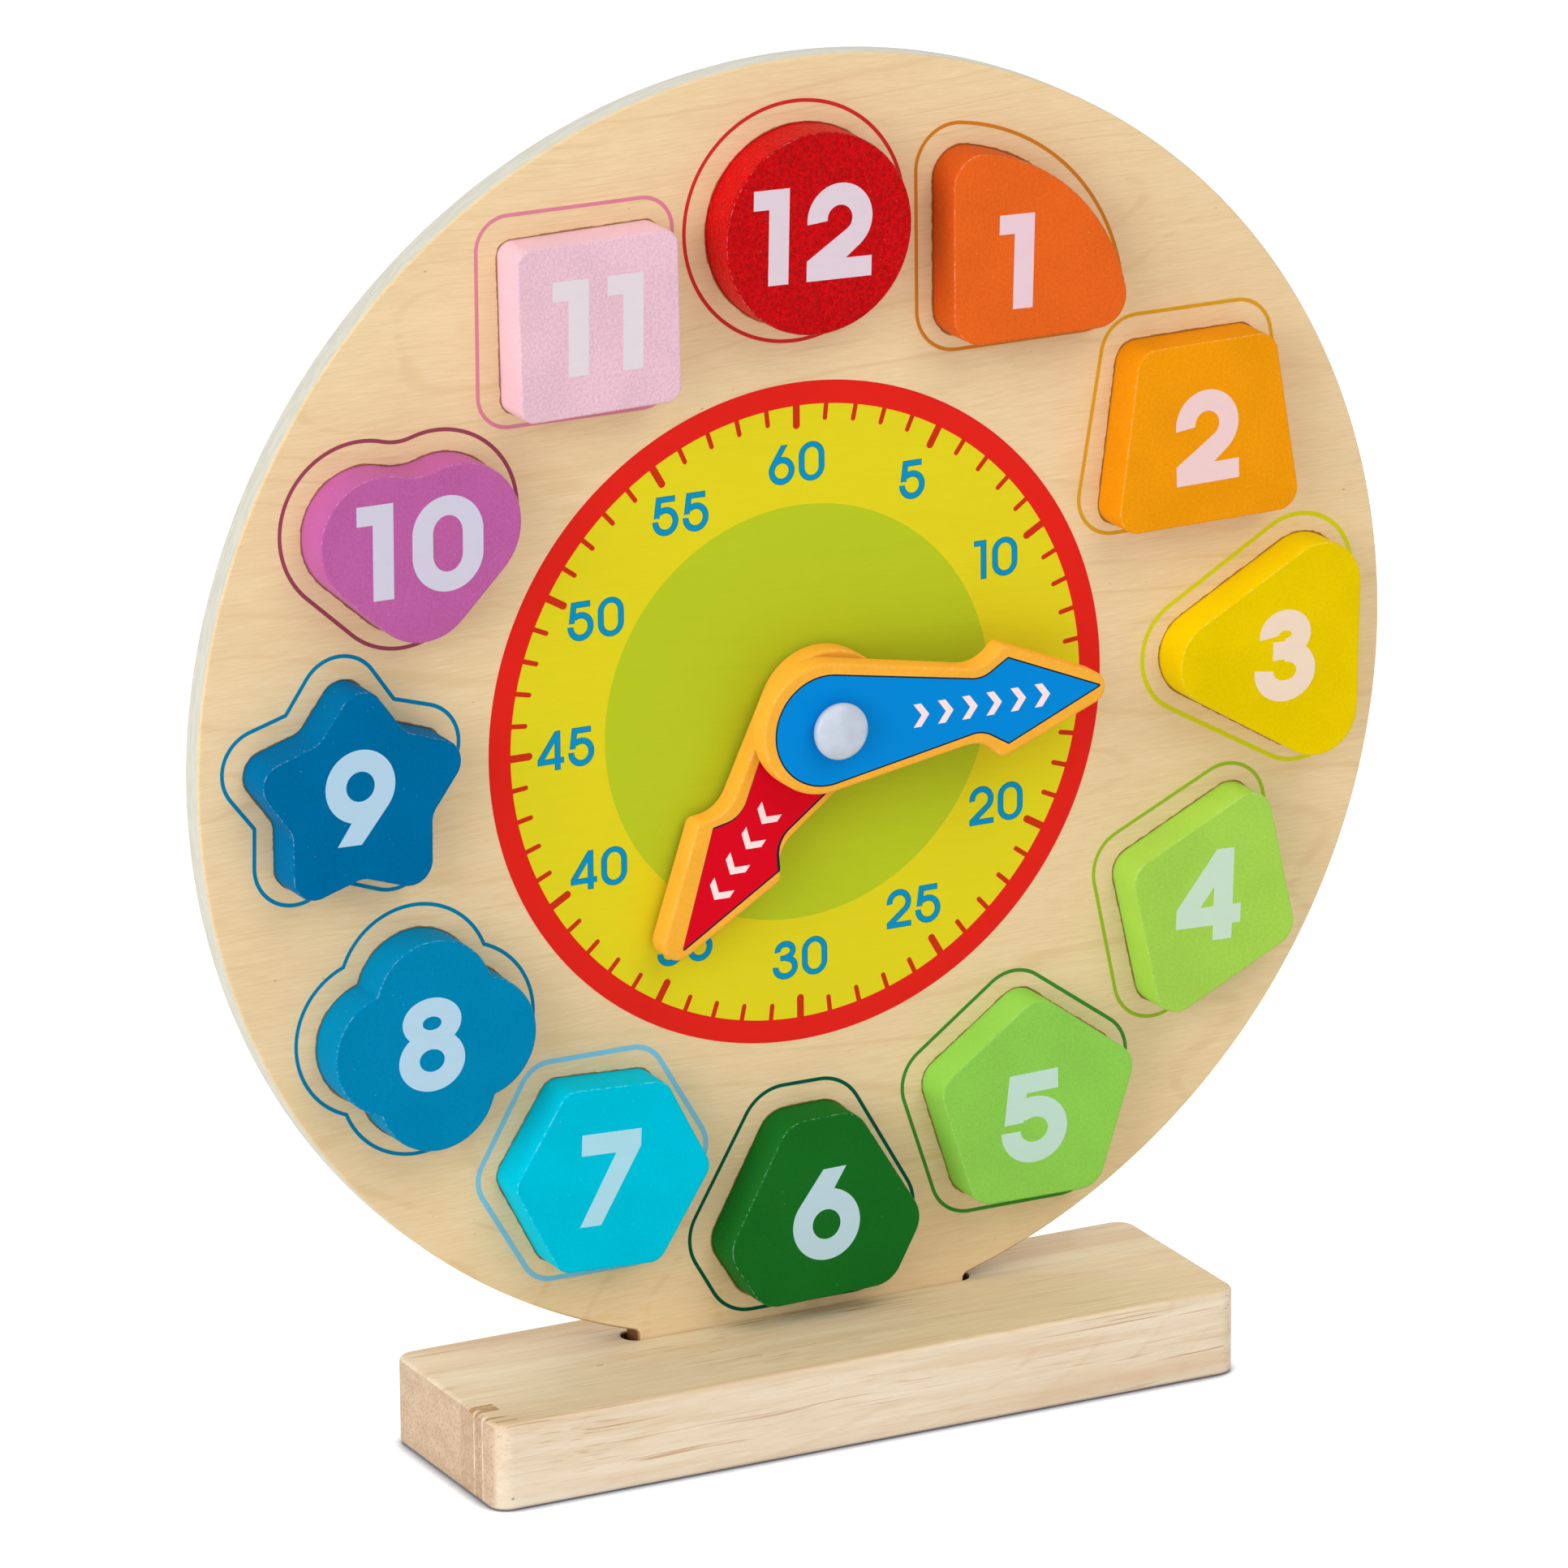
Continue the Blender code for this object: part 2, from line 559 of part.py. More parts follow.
def make_rivet(frame, finish):
    """A low domed head, bulging over its foot, on a shaft that ends inside the rear cap."""
    facets = arc_steps(RIVET_HEAD_RADIUS, 2.0 * math.pi)
    crown_steps = 6
    equator = -RIVET_SEAT_OUT - RIVET_FOOT_HEIGHT
    foot_turn = math.acos(RIVET_FOOT_RADIUS / RIVET_HEAD_RADIUS)
    foot_scale = RIVET_FOOT_HEIGHT / math.sin(foot_turn)
    profile = [(0.0, equator - RIVET_CROWN_HEIGHT)]
    for step in range(crown_steps - 1, -1, -1):
        turn = math.pi / 2.0 * step / crown_steps
        profile.append((RIVET_HEAD_RADIUS * math.cos(turn), equator - RIVET_CROWN_HEIGHT * math.sin(turn)))
    for share in (0.5, 1.0):
        turn = foot_turn * share
        profile.append((RIVET_HEAD_RADIUS * math.cos(turn), equator + foot_scale * math.sin(turn)))
    shaft_end = REAR_CAP_SEAT + REAR_CAP_HEIGHT - REAR_CAP_FLOOR - SEAT_GAP
    profile += [(SHAFT_RADIUS, -RIVET_SEAT_OUT), (SHAFT_RADIUS, shaft_end), (0.0, shaft_end)]
    add_object("pivot_rivet", turned_mesh("pivot_rivet", profile, facets), frame, finish)


def make_rear_cap(frame, finish):
    """A low domed cap behind the board, with a blind bore that the rivet's shaft is pressed into."""
    facets = arc_steps(REAR_CAP_RADIUS, 2.0 * math.pi)
    bore_end = REAR_CAP_SEAT + REAR_CAP_HEIGHT - REAR_CAP_FLOOR
    rim_end = REAR_CAP_SEAT + REAR_CAP_HEIGHT / 2.0
    crown = REAR_CAP_HEIGHT / 2.0
    profile = [(0.0, bore_end), (BORE_RADIUS, bore_end), (BORE_RADIUS, REAR_CAP_SEAT),
               (REAR_CAP_RADIUS, REAR_CAP_SEAT)]
    crown_steps = 4
    for step in range(crown_steps):
        turn = math.pi / 2.0 * step / crown_steps
        profile.append((REAR_CAP_RADIUS * math.cos(turn), rim_end + crown * math.sin(turn)))
    profile.append((0.0, rim_end + crown))
    add_object("rear_cap", turned_mesh("rear_cap", profile, facets), frame, finish)


def clear_scene():
    for existing in list(bpy.data.objects):
        bpy.data.objects.remove(existing, do_unlink=True)


def main():
    clear_scene()
    pine = material("planed_pine", (0.72, 0.55, 0.36), 0.6)
    birch_ply = material("printed_plywood", (0.80, 0.62, 0.38), 0.55)
    back_ply = material("plain_plywood", (0.76, 0.60, 0.38), 0.65)
    amber = material("amber_paint", (0.90, 0.45, 0.05), 0.45)
    white_plastic = material("white_plastic", (0.75, 0.78, 0.82), 0.25)
    block_shapes = {
        "block_01_quarter_round": quarter_pulleys(),
        "block_02_trapezoid": trapezoid_pulleys(),
        "block_03_triangle": triangle_pulleys(),
        "block_04_rhombus": rhombus_pulleys(),
        "block_05_pentagon": pentagon_pulleys(),
        "block_06_cut_triangle": cut_triangle_pulleys(),
        "block_07_hexagon": hexagon_pulleys(),
        "block_08_flower": flower_pulleys(),
        "block_09_star": star_pulleys(),
        "block_10_heart": heart_pulleys(),
        "block_11_square": square_pulleys(),
        "block_12_circle": circle_pulleys(),
    }
    block_shapes = {name: turned(shape, BLOCK_TURNS[name]) for name, shape in block_shapes.items()}
    paints = {
        "block_01_quarter_round": material("orange_paint", (0.80, 0.14, 0.02), 0.45),
        "block_02_trapezoid": material("golden_paint", (0.85, 0.33, 0.01), 0.45),
        "block_03_triangle": material("yellow_paint", (0.80, 0.58, 0.0), 0.45),
        "block_04_rhombus": material("lime_paint", (0.37, 0.65, 0.08), 0.45),
        "block_05_pentagon": material("leaf_paint", (0.25, 0.60, 0.08), 0.45),
        "block_06_cut_triangle": material("forest_paint", (0.01, 0.13, 0.015), 0.45),
        "block_07_hexagon": material("cyan_paint", (0.0, 0.52, 0.72), 0.45),
        "block_08_flower": material("sky_paint", (0.0, 0.22, 0.46), 0.45),
        "block_09_star": material("blue_paint", (0.0, 0.13, 0.33), 0.45),
        "block_10_heart": material("orchid_paint", (0.47, 0.10, 0.33), 0.45),
        "block_11_square": material("pink_paint", (0.83, 0.55, 0.62), 0.45),
        "block_12_circle": material("red_paint", (0.60, 0.01, 0.01), 0.45),
    }
    make_stand(pine)
    dial = add_empty("dial_middle", (-WORK_SHIFT, FACE_SETBACK, DIAL_HEIGHT))
    make_panels(dial, block_shapes, birch_ply, back_ply)
    make_blocks(dial, block_shapes, paints)
    pivot = add_empty("pivot_axis", (PIVOT_ASIDE, 0.0, PIVOT_RISE), dial)
    hour = hand_pulleys(HOUR_LENGTH, HOUR_BARB_DISTANCE, HOUR_BORE_ASIDE, HOUR_BORE_ALONG)
    minute = hand_pulleys(MINUTE_LENGTH, MINUTE_BARB_DISTANCE, MINUTE_BORE_ASIDE, MINUTE_BORE_ALONG)
    make_washer("washer_under_hour_hand", pivot, FIRST_WASHER_OUT, white_plastic)
    make_hand("hour_hand", pivot, hour, HOUR_HAND_OUT, HOUR_ANGLE, amber)
    make_washer("washer_between_hands", pivot, SECOND_WASHER_OUT, white_plastic)
    make_hand("minute_hand", pivot, minute, MINUTE_HAND_OUT, MINUTE_ANGLE, amber)
    make_rivet(pivot, white_plastic)
    make_rear_cap(pivot, white_plastic)


main()
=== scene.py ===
"""Looks of a wooden teaching clock: a round plywood board on a pine stand, two arrow hands and twelve number blocks.

Shapes are drawn in millimetres, as (across, up, out) from the middle of the printed dial, or as plan and height
on the stand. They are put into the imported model's own place in metres. Colours are written as 0 to 255 values.
"""
import json
import math

import bmesh
import bpy
import numpy as np
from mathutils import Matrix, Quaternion, Vector
from mathutils.geometry import delaunay_2d_cdt


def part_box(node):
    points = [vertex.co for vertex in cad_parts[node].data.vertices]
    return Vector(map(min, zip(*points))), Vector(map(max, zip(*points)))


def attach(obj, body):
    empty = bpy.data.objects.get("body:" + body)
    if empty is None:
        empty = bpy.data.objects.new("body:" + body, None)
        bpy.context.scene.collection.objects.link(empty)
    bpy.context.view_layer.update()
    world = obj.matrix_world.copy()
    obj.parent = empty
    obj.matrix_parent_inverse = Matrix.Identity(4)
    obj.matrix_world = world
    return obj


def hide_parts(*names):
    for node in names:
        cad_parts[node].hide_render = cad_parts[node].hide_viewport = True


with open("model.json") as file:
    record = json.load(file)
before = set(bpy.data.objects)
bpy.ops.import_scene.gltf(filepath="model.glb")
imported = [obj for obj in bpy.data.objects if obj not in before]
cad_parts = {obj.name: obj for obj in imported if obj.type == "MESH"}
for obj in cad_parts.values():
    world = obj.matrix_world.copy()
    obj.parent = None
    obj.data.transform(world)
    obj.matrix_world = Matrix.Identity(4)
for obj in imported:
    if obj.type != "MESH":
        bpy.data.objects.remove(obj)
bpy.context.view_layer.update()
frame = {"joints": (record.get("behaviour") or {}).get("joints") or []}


# Camera: it stands where the photograph was taken, left of the clock and a little above it, far away behind a
# long lens, and its horizon hangs very slightly to the right.
IMAGE_PIXELS = 1932.0
FOCAL_PIXELS = 13499.0
CAMERA_ROLL = -0.426


def add_object(name, data):
    """An object that holds the data, linked into the scene."""
    made = bpy.data.objects.new(name, data)
    bpy.context.scene.collection.objects.link(made)
    return made


def point_at(made, place, aim, roll=0.0):
    """Put a camera or a lamp at a place, facing the aim and rolled by an angle in degrees."""
    made.location = place
    made.rotation_mode = "QUATERNION"
    facing = (Vector(aim) - Vector(place)).to_track_quat("-Z", "Y")
    made.rotation_quaternion = facing @ Quaternion((0.0, 0.0, 1.0), math.radians(roll))


camera_data = bpy.data.cameras.new("view_camera")
camera_data.sensor_width = 36.0
camera_data.lens = FOCAL_PIXELS / IMAGE_PIXELS * camera_data.sensor_width
camera = add_object("view_camera", camera_data)
point_at(camera, (-1.04354, -2.02499, 0.86581), (-0.00493, 0.0078, 0.14298), CAMERA_ROLL)
bpy.context.scene.camera = camera
bpy.context.scene.view_settings.view_transform = "Standard"


# Stand: one planed block of pale pine with a routed slot for the board's tab. It is bare wood with long brown
# streaks, and its front left corner is built up from two finger-jointed strips.
MM = 0.001
FACET_SAG = 0.004
HAIR = 1e-9
WELD_REACH = 0.0015
SHARP_ANGLE = 35.0
EDGE_STEPS = 7
FLAT_RING = 0.1
LEAST_RADIUS = 0.25
STAND_LENGTH = 184.0
STAND_DEPTH = 52.2
STAND_HEIGHT = 20.0
STAND_CORNER = 4.5
STAND_ARRIS = 1.1
SLOT_FLOOR = 7.0
SLOT_RADIUS = 3.5
SLOT_REACH = 39.7
SLOT_MIDDLE = 11.0
SLOT_ARRIS = 0.25
WORK_SHIFT = 1.3


def direction(degrees):
    """Cosine and sine of an angle."""
    return math.cos(math.radians(degrees)), math.sin(math.radians(degrees))


def unit(angles):
    """Unit vectors (N, 2) at angles in radians."""
    return np.stack([np.cos(angles), np.sin(angles)], axis=1)


def belt(pulleys, grow=0.0):
    """Outline of a belt drawn tight round pulleys and then moved outwards by grow, as points (N, 2).

    A pulley is (across, up, radius), in anticlockwise order. A negative radius lies outside the piece and hollows
    it, and a zero radius is a sharp corner. Where the belt leaves for the next pulley, its outward normal is the
    direction to that pulley turned back by arccos((this radius - next radius) / distance).
    """
    if len(pulleys) == 1:
        across, up, radius = pulleys[0]
        steps = math.ceil(math.pi / math.acos(1.0 - FACET_SAG / radius))
        angle = np.linspace(0.0, 2.0 * math.pi, steps, endpoint=False)
        return np.array([across, up]) + (radius + grow) * unit(angle)
    place = np.array(pulleys, float)
    after = np.roll(place, -1, axis=0)
    run = after[:, :2] - place[:, :2]
    share = np.clip((place[:, 2] - after[:, 2]) / np.hypot(run[:, 0], run[:, 1]), -1.0, 1.0)
    leaving = np.arctan2(run[:, 1], run[:, 0]) - np.arccos(share)
    side = np.where(place[:, 2] < 0.0, -1.0, 1.0)
    sweep = (side * (leaving - np.roll(leaving, 1))) % (2.0 * math.pi)
    sweep = np.where((sweep > 2.0 * math.pi - 1e-6) | ((place[:, 2] == 0.0) & (sweep > math.pi)), 0.0, sweep)
    step = 2.0 * np.arccos(1.0 - FACET_SAG / np.maximum(np.abs(place[:, 2]), LEAST_RADIUS))
    counts = np.ceil(sweep / step).astype(int) + 1
    owner = np.repeat(np.arange(len(place)), counts)
    index = np.arange(len(owner)) - np.repeat(np.cumsum(counts) - counts, counts)
    share = index / np.maximum(counts[owner] - 1, 1)
    angle = np.roll(leaving, 1)[owner] + side[owner] * sweep[owner] * share
    size = place[owner, 2] + grow
    points = place[owner, :2] + size[:, None] * unit(angle)
    apart = np.linalg.norm(points - np.roll(points, 1, axis=0), axis=1)
    return points if grow else points[apart > 1e-6]


def ring_line(pulleys, grow):
    """The belt with all its points kept, also where two fall together, so that a piece's rings match."""
    return belt(pulleys, grow or HAIR)


def rounded_corners(corners, radius):
    """Pulleys for a polygon with rounded corners: each centre lies on the corner's bisector, radius / sin(half
    the corner's angle) inside it."""
    corner = np.array(corners, float)
    back, ahead = [to / np.linalg.norm(to, axis=1)[:, None]
                   for to in (np.roll(corner, step, axis=0) - corner for step in (1, -1))]
    inward = (back + ahead) / np.linalg.norm(back + ahead, axis=1)[:, None]
    half = np.arccos(np.sum(back * ahead, axis=1)) / 2.0
    centre = corner + inward * radius / np.sin(half)[:, None]
    return [(float(x), float(z), radius) for x, z in centre]


def trapezoid(foot, top, height, radius):
    corners = [(-foot / 2.0, -height / 2.0), (foot / 2.0, -height / 2.0), (top / 2.0, height / 2.0),
               (-top / 2.0, height / 2.0)]
    return rounded_corners(corners, radius)


def flat_fill(solids, holes=()):
    """Triangles over the union of the solid outlines less the holes, by constrained Delaunay triangulation.

    Gives points (N, 2), anticlockwise triangles (M, 3), and the rim's directed edges (K, 2), which are those that
    only one triangle uses.
    """
    loops = [*solids, *holes]
    ends = np.cumsum([len(loop) for loop in loops])
    rings = [list(range(end - len(loop), end)) for loop, end in zip(loops, ends)]
    drawn = [Vector(point) for point in np.concatenate(loops).tolist()]
    found = delaunay_2d_cdt(drawn, [], rings, 1, 1e-5, True)
    points = np.array([tuple(point) for point in found[0]])
    triangles = np.array([tri for tri, owners in zip(found[2], found[5]) if owners and max(owners) < len(solids)])
    one, two, three = points[triangles[:, 0]], points[triangles[:, 1]], points[triangles[:, 2]]
    area = (two[:, 0] - one[:, 0]) * (three[:, 1] - one[:, 1]) - (two[:, 1] - one[:, 1]) * (three[:, 0] - one[:, 0])
    triangles[area < 0.0] = triangles[area < 0.0][:, ::-1]
    edges = np.concatenate([triangles[:, [0, 1]], triangles[:, [1, 2]], triangles[:, [2, 0]]])
    code = edges[:, 0] * len(points) + edges[:, 1]
    twin = edges[:, 1] * len(points) + edges[:, 0]
    return points, triangles, edges[~np.isin(code, twin)]


def at_depth(points, out, arris=0.0):
    """Flat points (N, 2) as (across, up, out, arris)."""
    return np.column_stack([points, np.full(len(points), out), np.full(len(points), arris)])


def sheet(solids, holes, out, forward=True):
    """A flat skin at one depth over the solid outlines less the holes, facing the reader or facing away."""
    points, triangles, _ = flat_fill(solids, holes)
    return at_depth(points, out), triangles if forward else triangles[:, ::-1]


def rounded_side(front, rear, front_radius, rear_radius):
    """Rings from the front of a plate to its rear, as (grow, out, arris).

    Each edge is a quarter circle: grow = -radius (1 - sin t) and depth = radius (1 - cos t) for t from 0 to a
    right angle, with a narrow flat ring inside it. Arris is 1 halfway round the edge and fades to 0 on the flats.
    """
    t = np.linspace(0.0, math.pi / 2.0, EDGE_STEPS)
    grow = -(1.0 - np.sin(t))
    depth = 1.0 - np.cos(t)
    arris = np.sin(2.0 * t)
    head = np.column_stack([front_radius * grow, front - front_radius * depth, arris])
    foot = np.column_stack([rear_radius * grow, rear + rear_radius * depth, arris])[::-1]
    lip = [[-front_radius - FLAT_RING, front, 0.0]]
    tail = [[-rear_radius - FLAT_RING, rear, 0.0]]
    return np.concatenate([lip, head, foot, tail])


def front_edge(front, rear, radius):
    """The rings of a side whose front edge alone is rounded."""
    return np.concatenate([rounded_side(front, rear, radius, 0.0)[:EDGE_STEPS + 1], [[0.0, rear, 0.0]]])


def joined_rings(loops):
    """Skin through rings of points (K, N, 4), in squares that join each point to its neighbour round the ring and
    to the next ring."""
    count, around = loops.shape[:2]
    ring, index = np.meshgrid(np.arange(count - 1), np.arange(around), indexing="ij")
    follow = (index + 1) % around
    squares = np.stack([ring * around + index, (ring + 1) * around + index,
                        (ring + 1) * around + follow, ring * around + follow], axis=-1).reshape(-1, 4)
    return loops.reshape(-1, 4), squares


def band(pulleys, rings, outward=True):
    """Skin through an outline's rings, facing out of the outline or into it."""
    loops = np.array([at_depth(ring_line(pulleys, grow), out, arris) for grow, out, arris in rings])
    points, squares = joined_rings(loops)
    return points, squares if outward else squares[:, ::-1]


def plate(outline, rings, holes=()):
    """The skins of a plate: its side, the wall of each hole (pulleys, rings), its front and its rear."""
    walls = [band(hole, rows, outward=False) for hole, rows in holes]
    faces = [sheet([ring_line(outline, rings[end][0])], [ring_line(hole, rows[end][0]) for hole, rows in holes],
                   rings[end][1], forward=end == 0) for end in (0, -1)]
    return [band(outline, rings), *walls, *faces]


def in_plan(points):
    """Millimetres in plan (right, back, height) on the stand's middle, as metres in the model's frame."""
    return points * MM + np.array([-WORK_SHIFT * MM, 0.0, 0.0])


def make_piece(name, skins, place, finish, body, replaced=()):
    """Join skins of (points, faces) into one closed mesh, weld them, and let it ride on its body.

    A point is (across, up, out, arris), and the last value is kept on the mesh as the attribute arris.
    """
    points = np.concatenate([skin for skin, faces in skins])
    starts = np.cumsum([0] + [len(skin) for skin, faces in skins[:-1]])
    faces = [face for start, (skin, rows) in zip(starts, skins) for face in (rows + start).tolist()]
    mesh = bpy.data.meshes.new(name)
    mesh.from_pydata(place(points[:, :3]).tolist(), [], faces)
    mesh.attributes.new("arris", "FLOAT", "POINT").data.foreach_set("value", points[:, 3])
    welded = bmesh.new()
    welded.from_mesh(mesh)
    bmesh.ops.remove_doubles(welded, verts=welded.verts, dist=WELD_REACH * MM)
    welded.to_mesh(mesh)
    welded.free()
    mesh.materials.append(finish)
    mesh.shade_smooth()
    mesh.set_sharp_from_angle(angle=math.radians(SHARP_ANGLE))
    made = add_object(name, mesh)
    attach(made, body)
    if replaced:
        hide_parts(*replaced)


def tone(red, green, blue):
    """A colour written in 0 to 255 as shown on a screen, turned into the linear value that a shader takes."""
    shown = np.array([red, green, blue]) / 255.0
    linear = np.where(shown <= 0.04045, shown / 12.92, ((shown + 0.055) / 1.055) ** 2.4)
    return (*linear.tolist(), 1.0)


def join(output, entry):
    entry.id_data.links.new(output, entry)


def add_node(tree, kind, values=None, **settings):
    """A shader node with its settings, and its sockets set to values or joined to other nodes' outputs."""
    made = tree.nodes.new("ShaderNode" + kind)
    for name, value in settings.items():
        setattr(made, name, value)
    for socket, value in (values or {}).items():
        if isinstance(value, bpy.types.NodeSocket):
            join(value, made.inputs[socket])
        else:
            made.inputs[socket].default_value = value
    return made


def tree_of(values):
    """The node tree that the sockets among the values belong to."""
    return next(value.id_data for value in values if isinstance(value, bpy.types.NodeSocket))


def calc(operation, *values, clamp=False):
    node = add_node(tree_of(values), "Math", dict(enumerate(values)), operation=operation, use_clamp=clamp)
    return node.outputs[0]


def times(one, two):
    return calc("MULTIPLY", one, two)


def vector_calc(operation, *values):
    return add_node(tree_of(values), "VectorMath", dict(enumerate(values)), operation=operation).outputs[0]


def split(vector):
    """The X, Y and Z of a vector."""
    return add_node(vector.id_data, "SeparateXYZ", {0: vector}).outputs


def scaled(vector, scale, location=(0.0, 0.0, 0.0)):
    """The vector stretched, evenly or along each axis, and then moved."""
    size = (scale, scale, scale) if isinstance(scale, float) else scale
    return add_node(vector.id_data, "Mapping", {"Vector": vector, "Scale": size, "Location": location}).outputs[0]


def noise(vector, scale, detail=2.0, roughness=0.5, location=(0.0, 0.0, 0.0)):
    """Noise from 0 to 1, with its scale along each axis in steps per metre."""
    values = {"Vector": scaled(vector, scale, location), "Scale": 1.0, "Detail": detail, "Roughness": roughness}
    return add_node(vector.id_data, "TexNoise", values).outputs["Fac"]


def ramp(value, low, high):
    """0 below low and 1 above high, with a smooth step between."""
    values = {"Value": value, "From Min": low, "From Max": high}
    return add_node(value.id_data, "MapRange", values, interpolation_type="SMOOTHSTEP").outputs["Result"]


def blend(amount, one, two, how="MIX"):
    values = {"Fac": amount, "Color1": one, "Color2": two}
    return add_node(tree_of(values.values()), "MixRGB", values, blend_type=how).outputs["Color"]


def new_group(name, inputs, outputs):
    """An empty shader node group with named sockets, and its entry and exit nodes' sockets."""
    group = bpy.data.node_groups.new(name, "ShaderNodeTree")
    for side, sockets in (("INPUT", inputs), ("OUTPUT", outputs)):
        for label, kind in sockets.items():
            group.interface.new_socket(label, in_out=side, socket_type="NodeSocket" + kind)
    return group, group.nodes.new("NodeGroupInput").outputs, group.nodes.new("NodeGroupOutput").inputs


def use_group(group, vector, **values):
    """A node group placed in the vector's tree, with its inputs set or joined."""
    return add_node(vector.id_data, "Group", {"Vector": vector, **values}, node_tree=group).outputs


def new_material(name, **shader_values):
    """A material with a Principled shader, and that shader and the outputs of its texture coordinates."""
    made = bpy.data.materials.new(name)
    made.use_nodes = True
    shader = made.node_tree.nodes["Principled BSDF"]
    for label, value in shader_values.items():
        shader.inputs[label.replace("_", " ")].default_value = value
    return made, shader, add_node(made.node_tree, "TexCoord").outputs


def coat(shader, colour, height, distance, strength):
    """Give the shader its colour, and its normal from a height that is a share of distance in metres."""
    join(colour, shader.inputs["Base Color"])
    values = {"Height": height, "Distance": distance, "Strength": strength}
    join(add_node(shader.id_data, "Bump", values).outputs["Normal"], shader.inputs["Normal"])


# Wood grain, for the stand, both panels and the ink that lies on them: broad tone bands, streaks and fine fibres
# that run along X and bend a little, with short dark dashes where the grain is open.
wood_grain, enter, leave = new_group(
    "wood_grain",
    dict(Vector="Vector", Pale="Color", Deep="Color", Dark="Color", Broad="Float", Streak="Float", Fibre="Float",
         Dashes="Float", Rings="Float"),
    dict(Color="Color", Height="Float"))
drift = add_node(wood_grain, "TexNoise", {"Vector": enter["Vector"], "Scale": 16.0, "Detail": 1.0}).outputs["Color"]
drift = vector_calc("MULTIPLY", vector_calc("SUBTRACT", drift, (0.5, 0.5, 0.5)), (0.0, 0.004, 0.004))
bent = vector_calc("ADD", enter["Vector"], drift)
streak = noise(bent, (18.0, 420.0, 420.0), 3.0, 0.6)
layers = {"Broad": noise(bent, (6.0, 60.0, 60.0)), "Streak": streak,
          "Fibre": noise(bent, (150.0, 2000.0, 2000.0), 3.0, 0.65)}
fine = 0.5
for label, layer in layers.items():
    fine = calc("MULTIPLY_ADD", calc("SUBTRACT", layer, 0.5), enter[label], fine)
hill = noise(bent, (3.2, 14.0, 14.0), 1.0, 0.4)
year = calc("SUBTRACT", 1.0, ramp(calc("PINGPONG", times(hill, 26.0), 0.5), 0.0, 0.1))
fine = calc("MULTIPLY_ADD", times(year, ramp(streak, 0.35, 0.6)), enter["Rings"], fine)
body_tone = blend(ramp(fine, 0.36, 0.64), enter["Pale"], enter["Deep"])
open_grain = ramp(noise(bent, (26.0, 2300.0, 2300.0), 1.0), 0.6, 0.72)
patches = ramp(noise(bent, (14.0, 110.0, 110.0), 1.0), 0.42, 0.62)
dash = calc("MULTIPLY", times(open_grain, patches), enter["Dashes"], clamp=True)
join(blend(dash, body_tone, enter["Dark"]), leave["Color"])
join(calc("SUBTRACT", fine, times(dash, 0.5)), leave["Height"])


# A soft-edged box, for a mark that sits at one place on a piece.
mark_box, enter, leave = new_group("mark_box", dict(Vector="Vector", Centre="Vector", Reach="Vector"),
                                   dict(Mask="Float"))
away = vector_calc("ABSOLUTE", vector_calc("SUBTRACT", enter["Vector"], enter["Centre"]))
inside = split(vector_calc("SUBTRACT", enter["Reach"], away))
least = calc("MINIMUM", calc("MINIMUM", inside["X"], inside["Y"]), inside["Z"])
join(ramp(least, -0.0001, 0.0003), leave["Mask"])

# Where each mark's middle lies on the stand, how far it reaches, how strong it is and its tone
PINE_MARKS = [
    ((-90.8, -14.6, 20.0), (3.2, 2.1, 0.9), 0.95, (178, 132, 80)),
    ((-90.4, -20.6, 20.0), (2.9, 0.5, 0.5), 0.95, (176, 128, 76)),
    ((-89.4, -23.4, 20.0), (2.6, 0.35, 0.5), 0.95, (176, 128, 76)),
    ((-93.3, -11.6, 10.0), (1.0, 3.4, 12.0), 0.35, (176, 134, 104)),
    ((-93.3, -15.1, 10.0), (1.6, 0.35, 12.0), 1.0, (240, 222, 196)),
    ((-93.3, -19.3, 10.0), (1.6, 0.3, 12.0), 1.0, (240, 222, 196)),
    ((-93.3, -17.2, 10.0), (1.0, 1.7, 12.0), 0.45, (168, 124, 92)),
    ((-89.4, -26.1, 2.9), (0.35, 1.0, 0.35), 1.0, (96, 60, 40)),
    ((-56.5, -2.4, 20.0), (0.9, 0.35, 0.6), 0.8, (150, 104, 66)),
    # The last two marks are painted shade: dark brown in the ends of the slot, in the gaps beside the tab.
    ((-42.0, 11.0, 13.0), (5.0, 4.0, 6.7), 1.0, (88, 58, 38)),
    ((40.5, 11.0, 13.0), (5.0, 4.0, 6.7), 1.0, (88, 58, 38)),
]


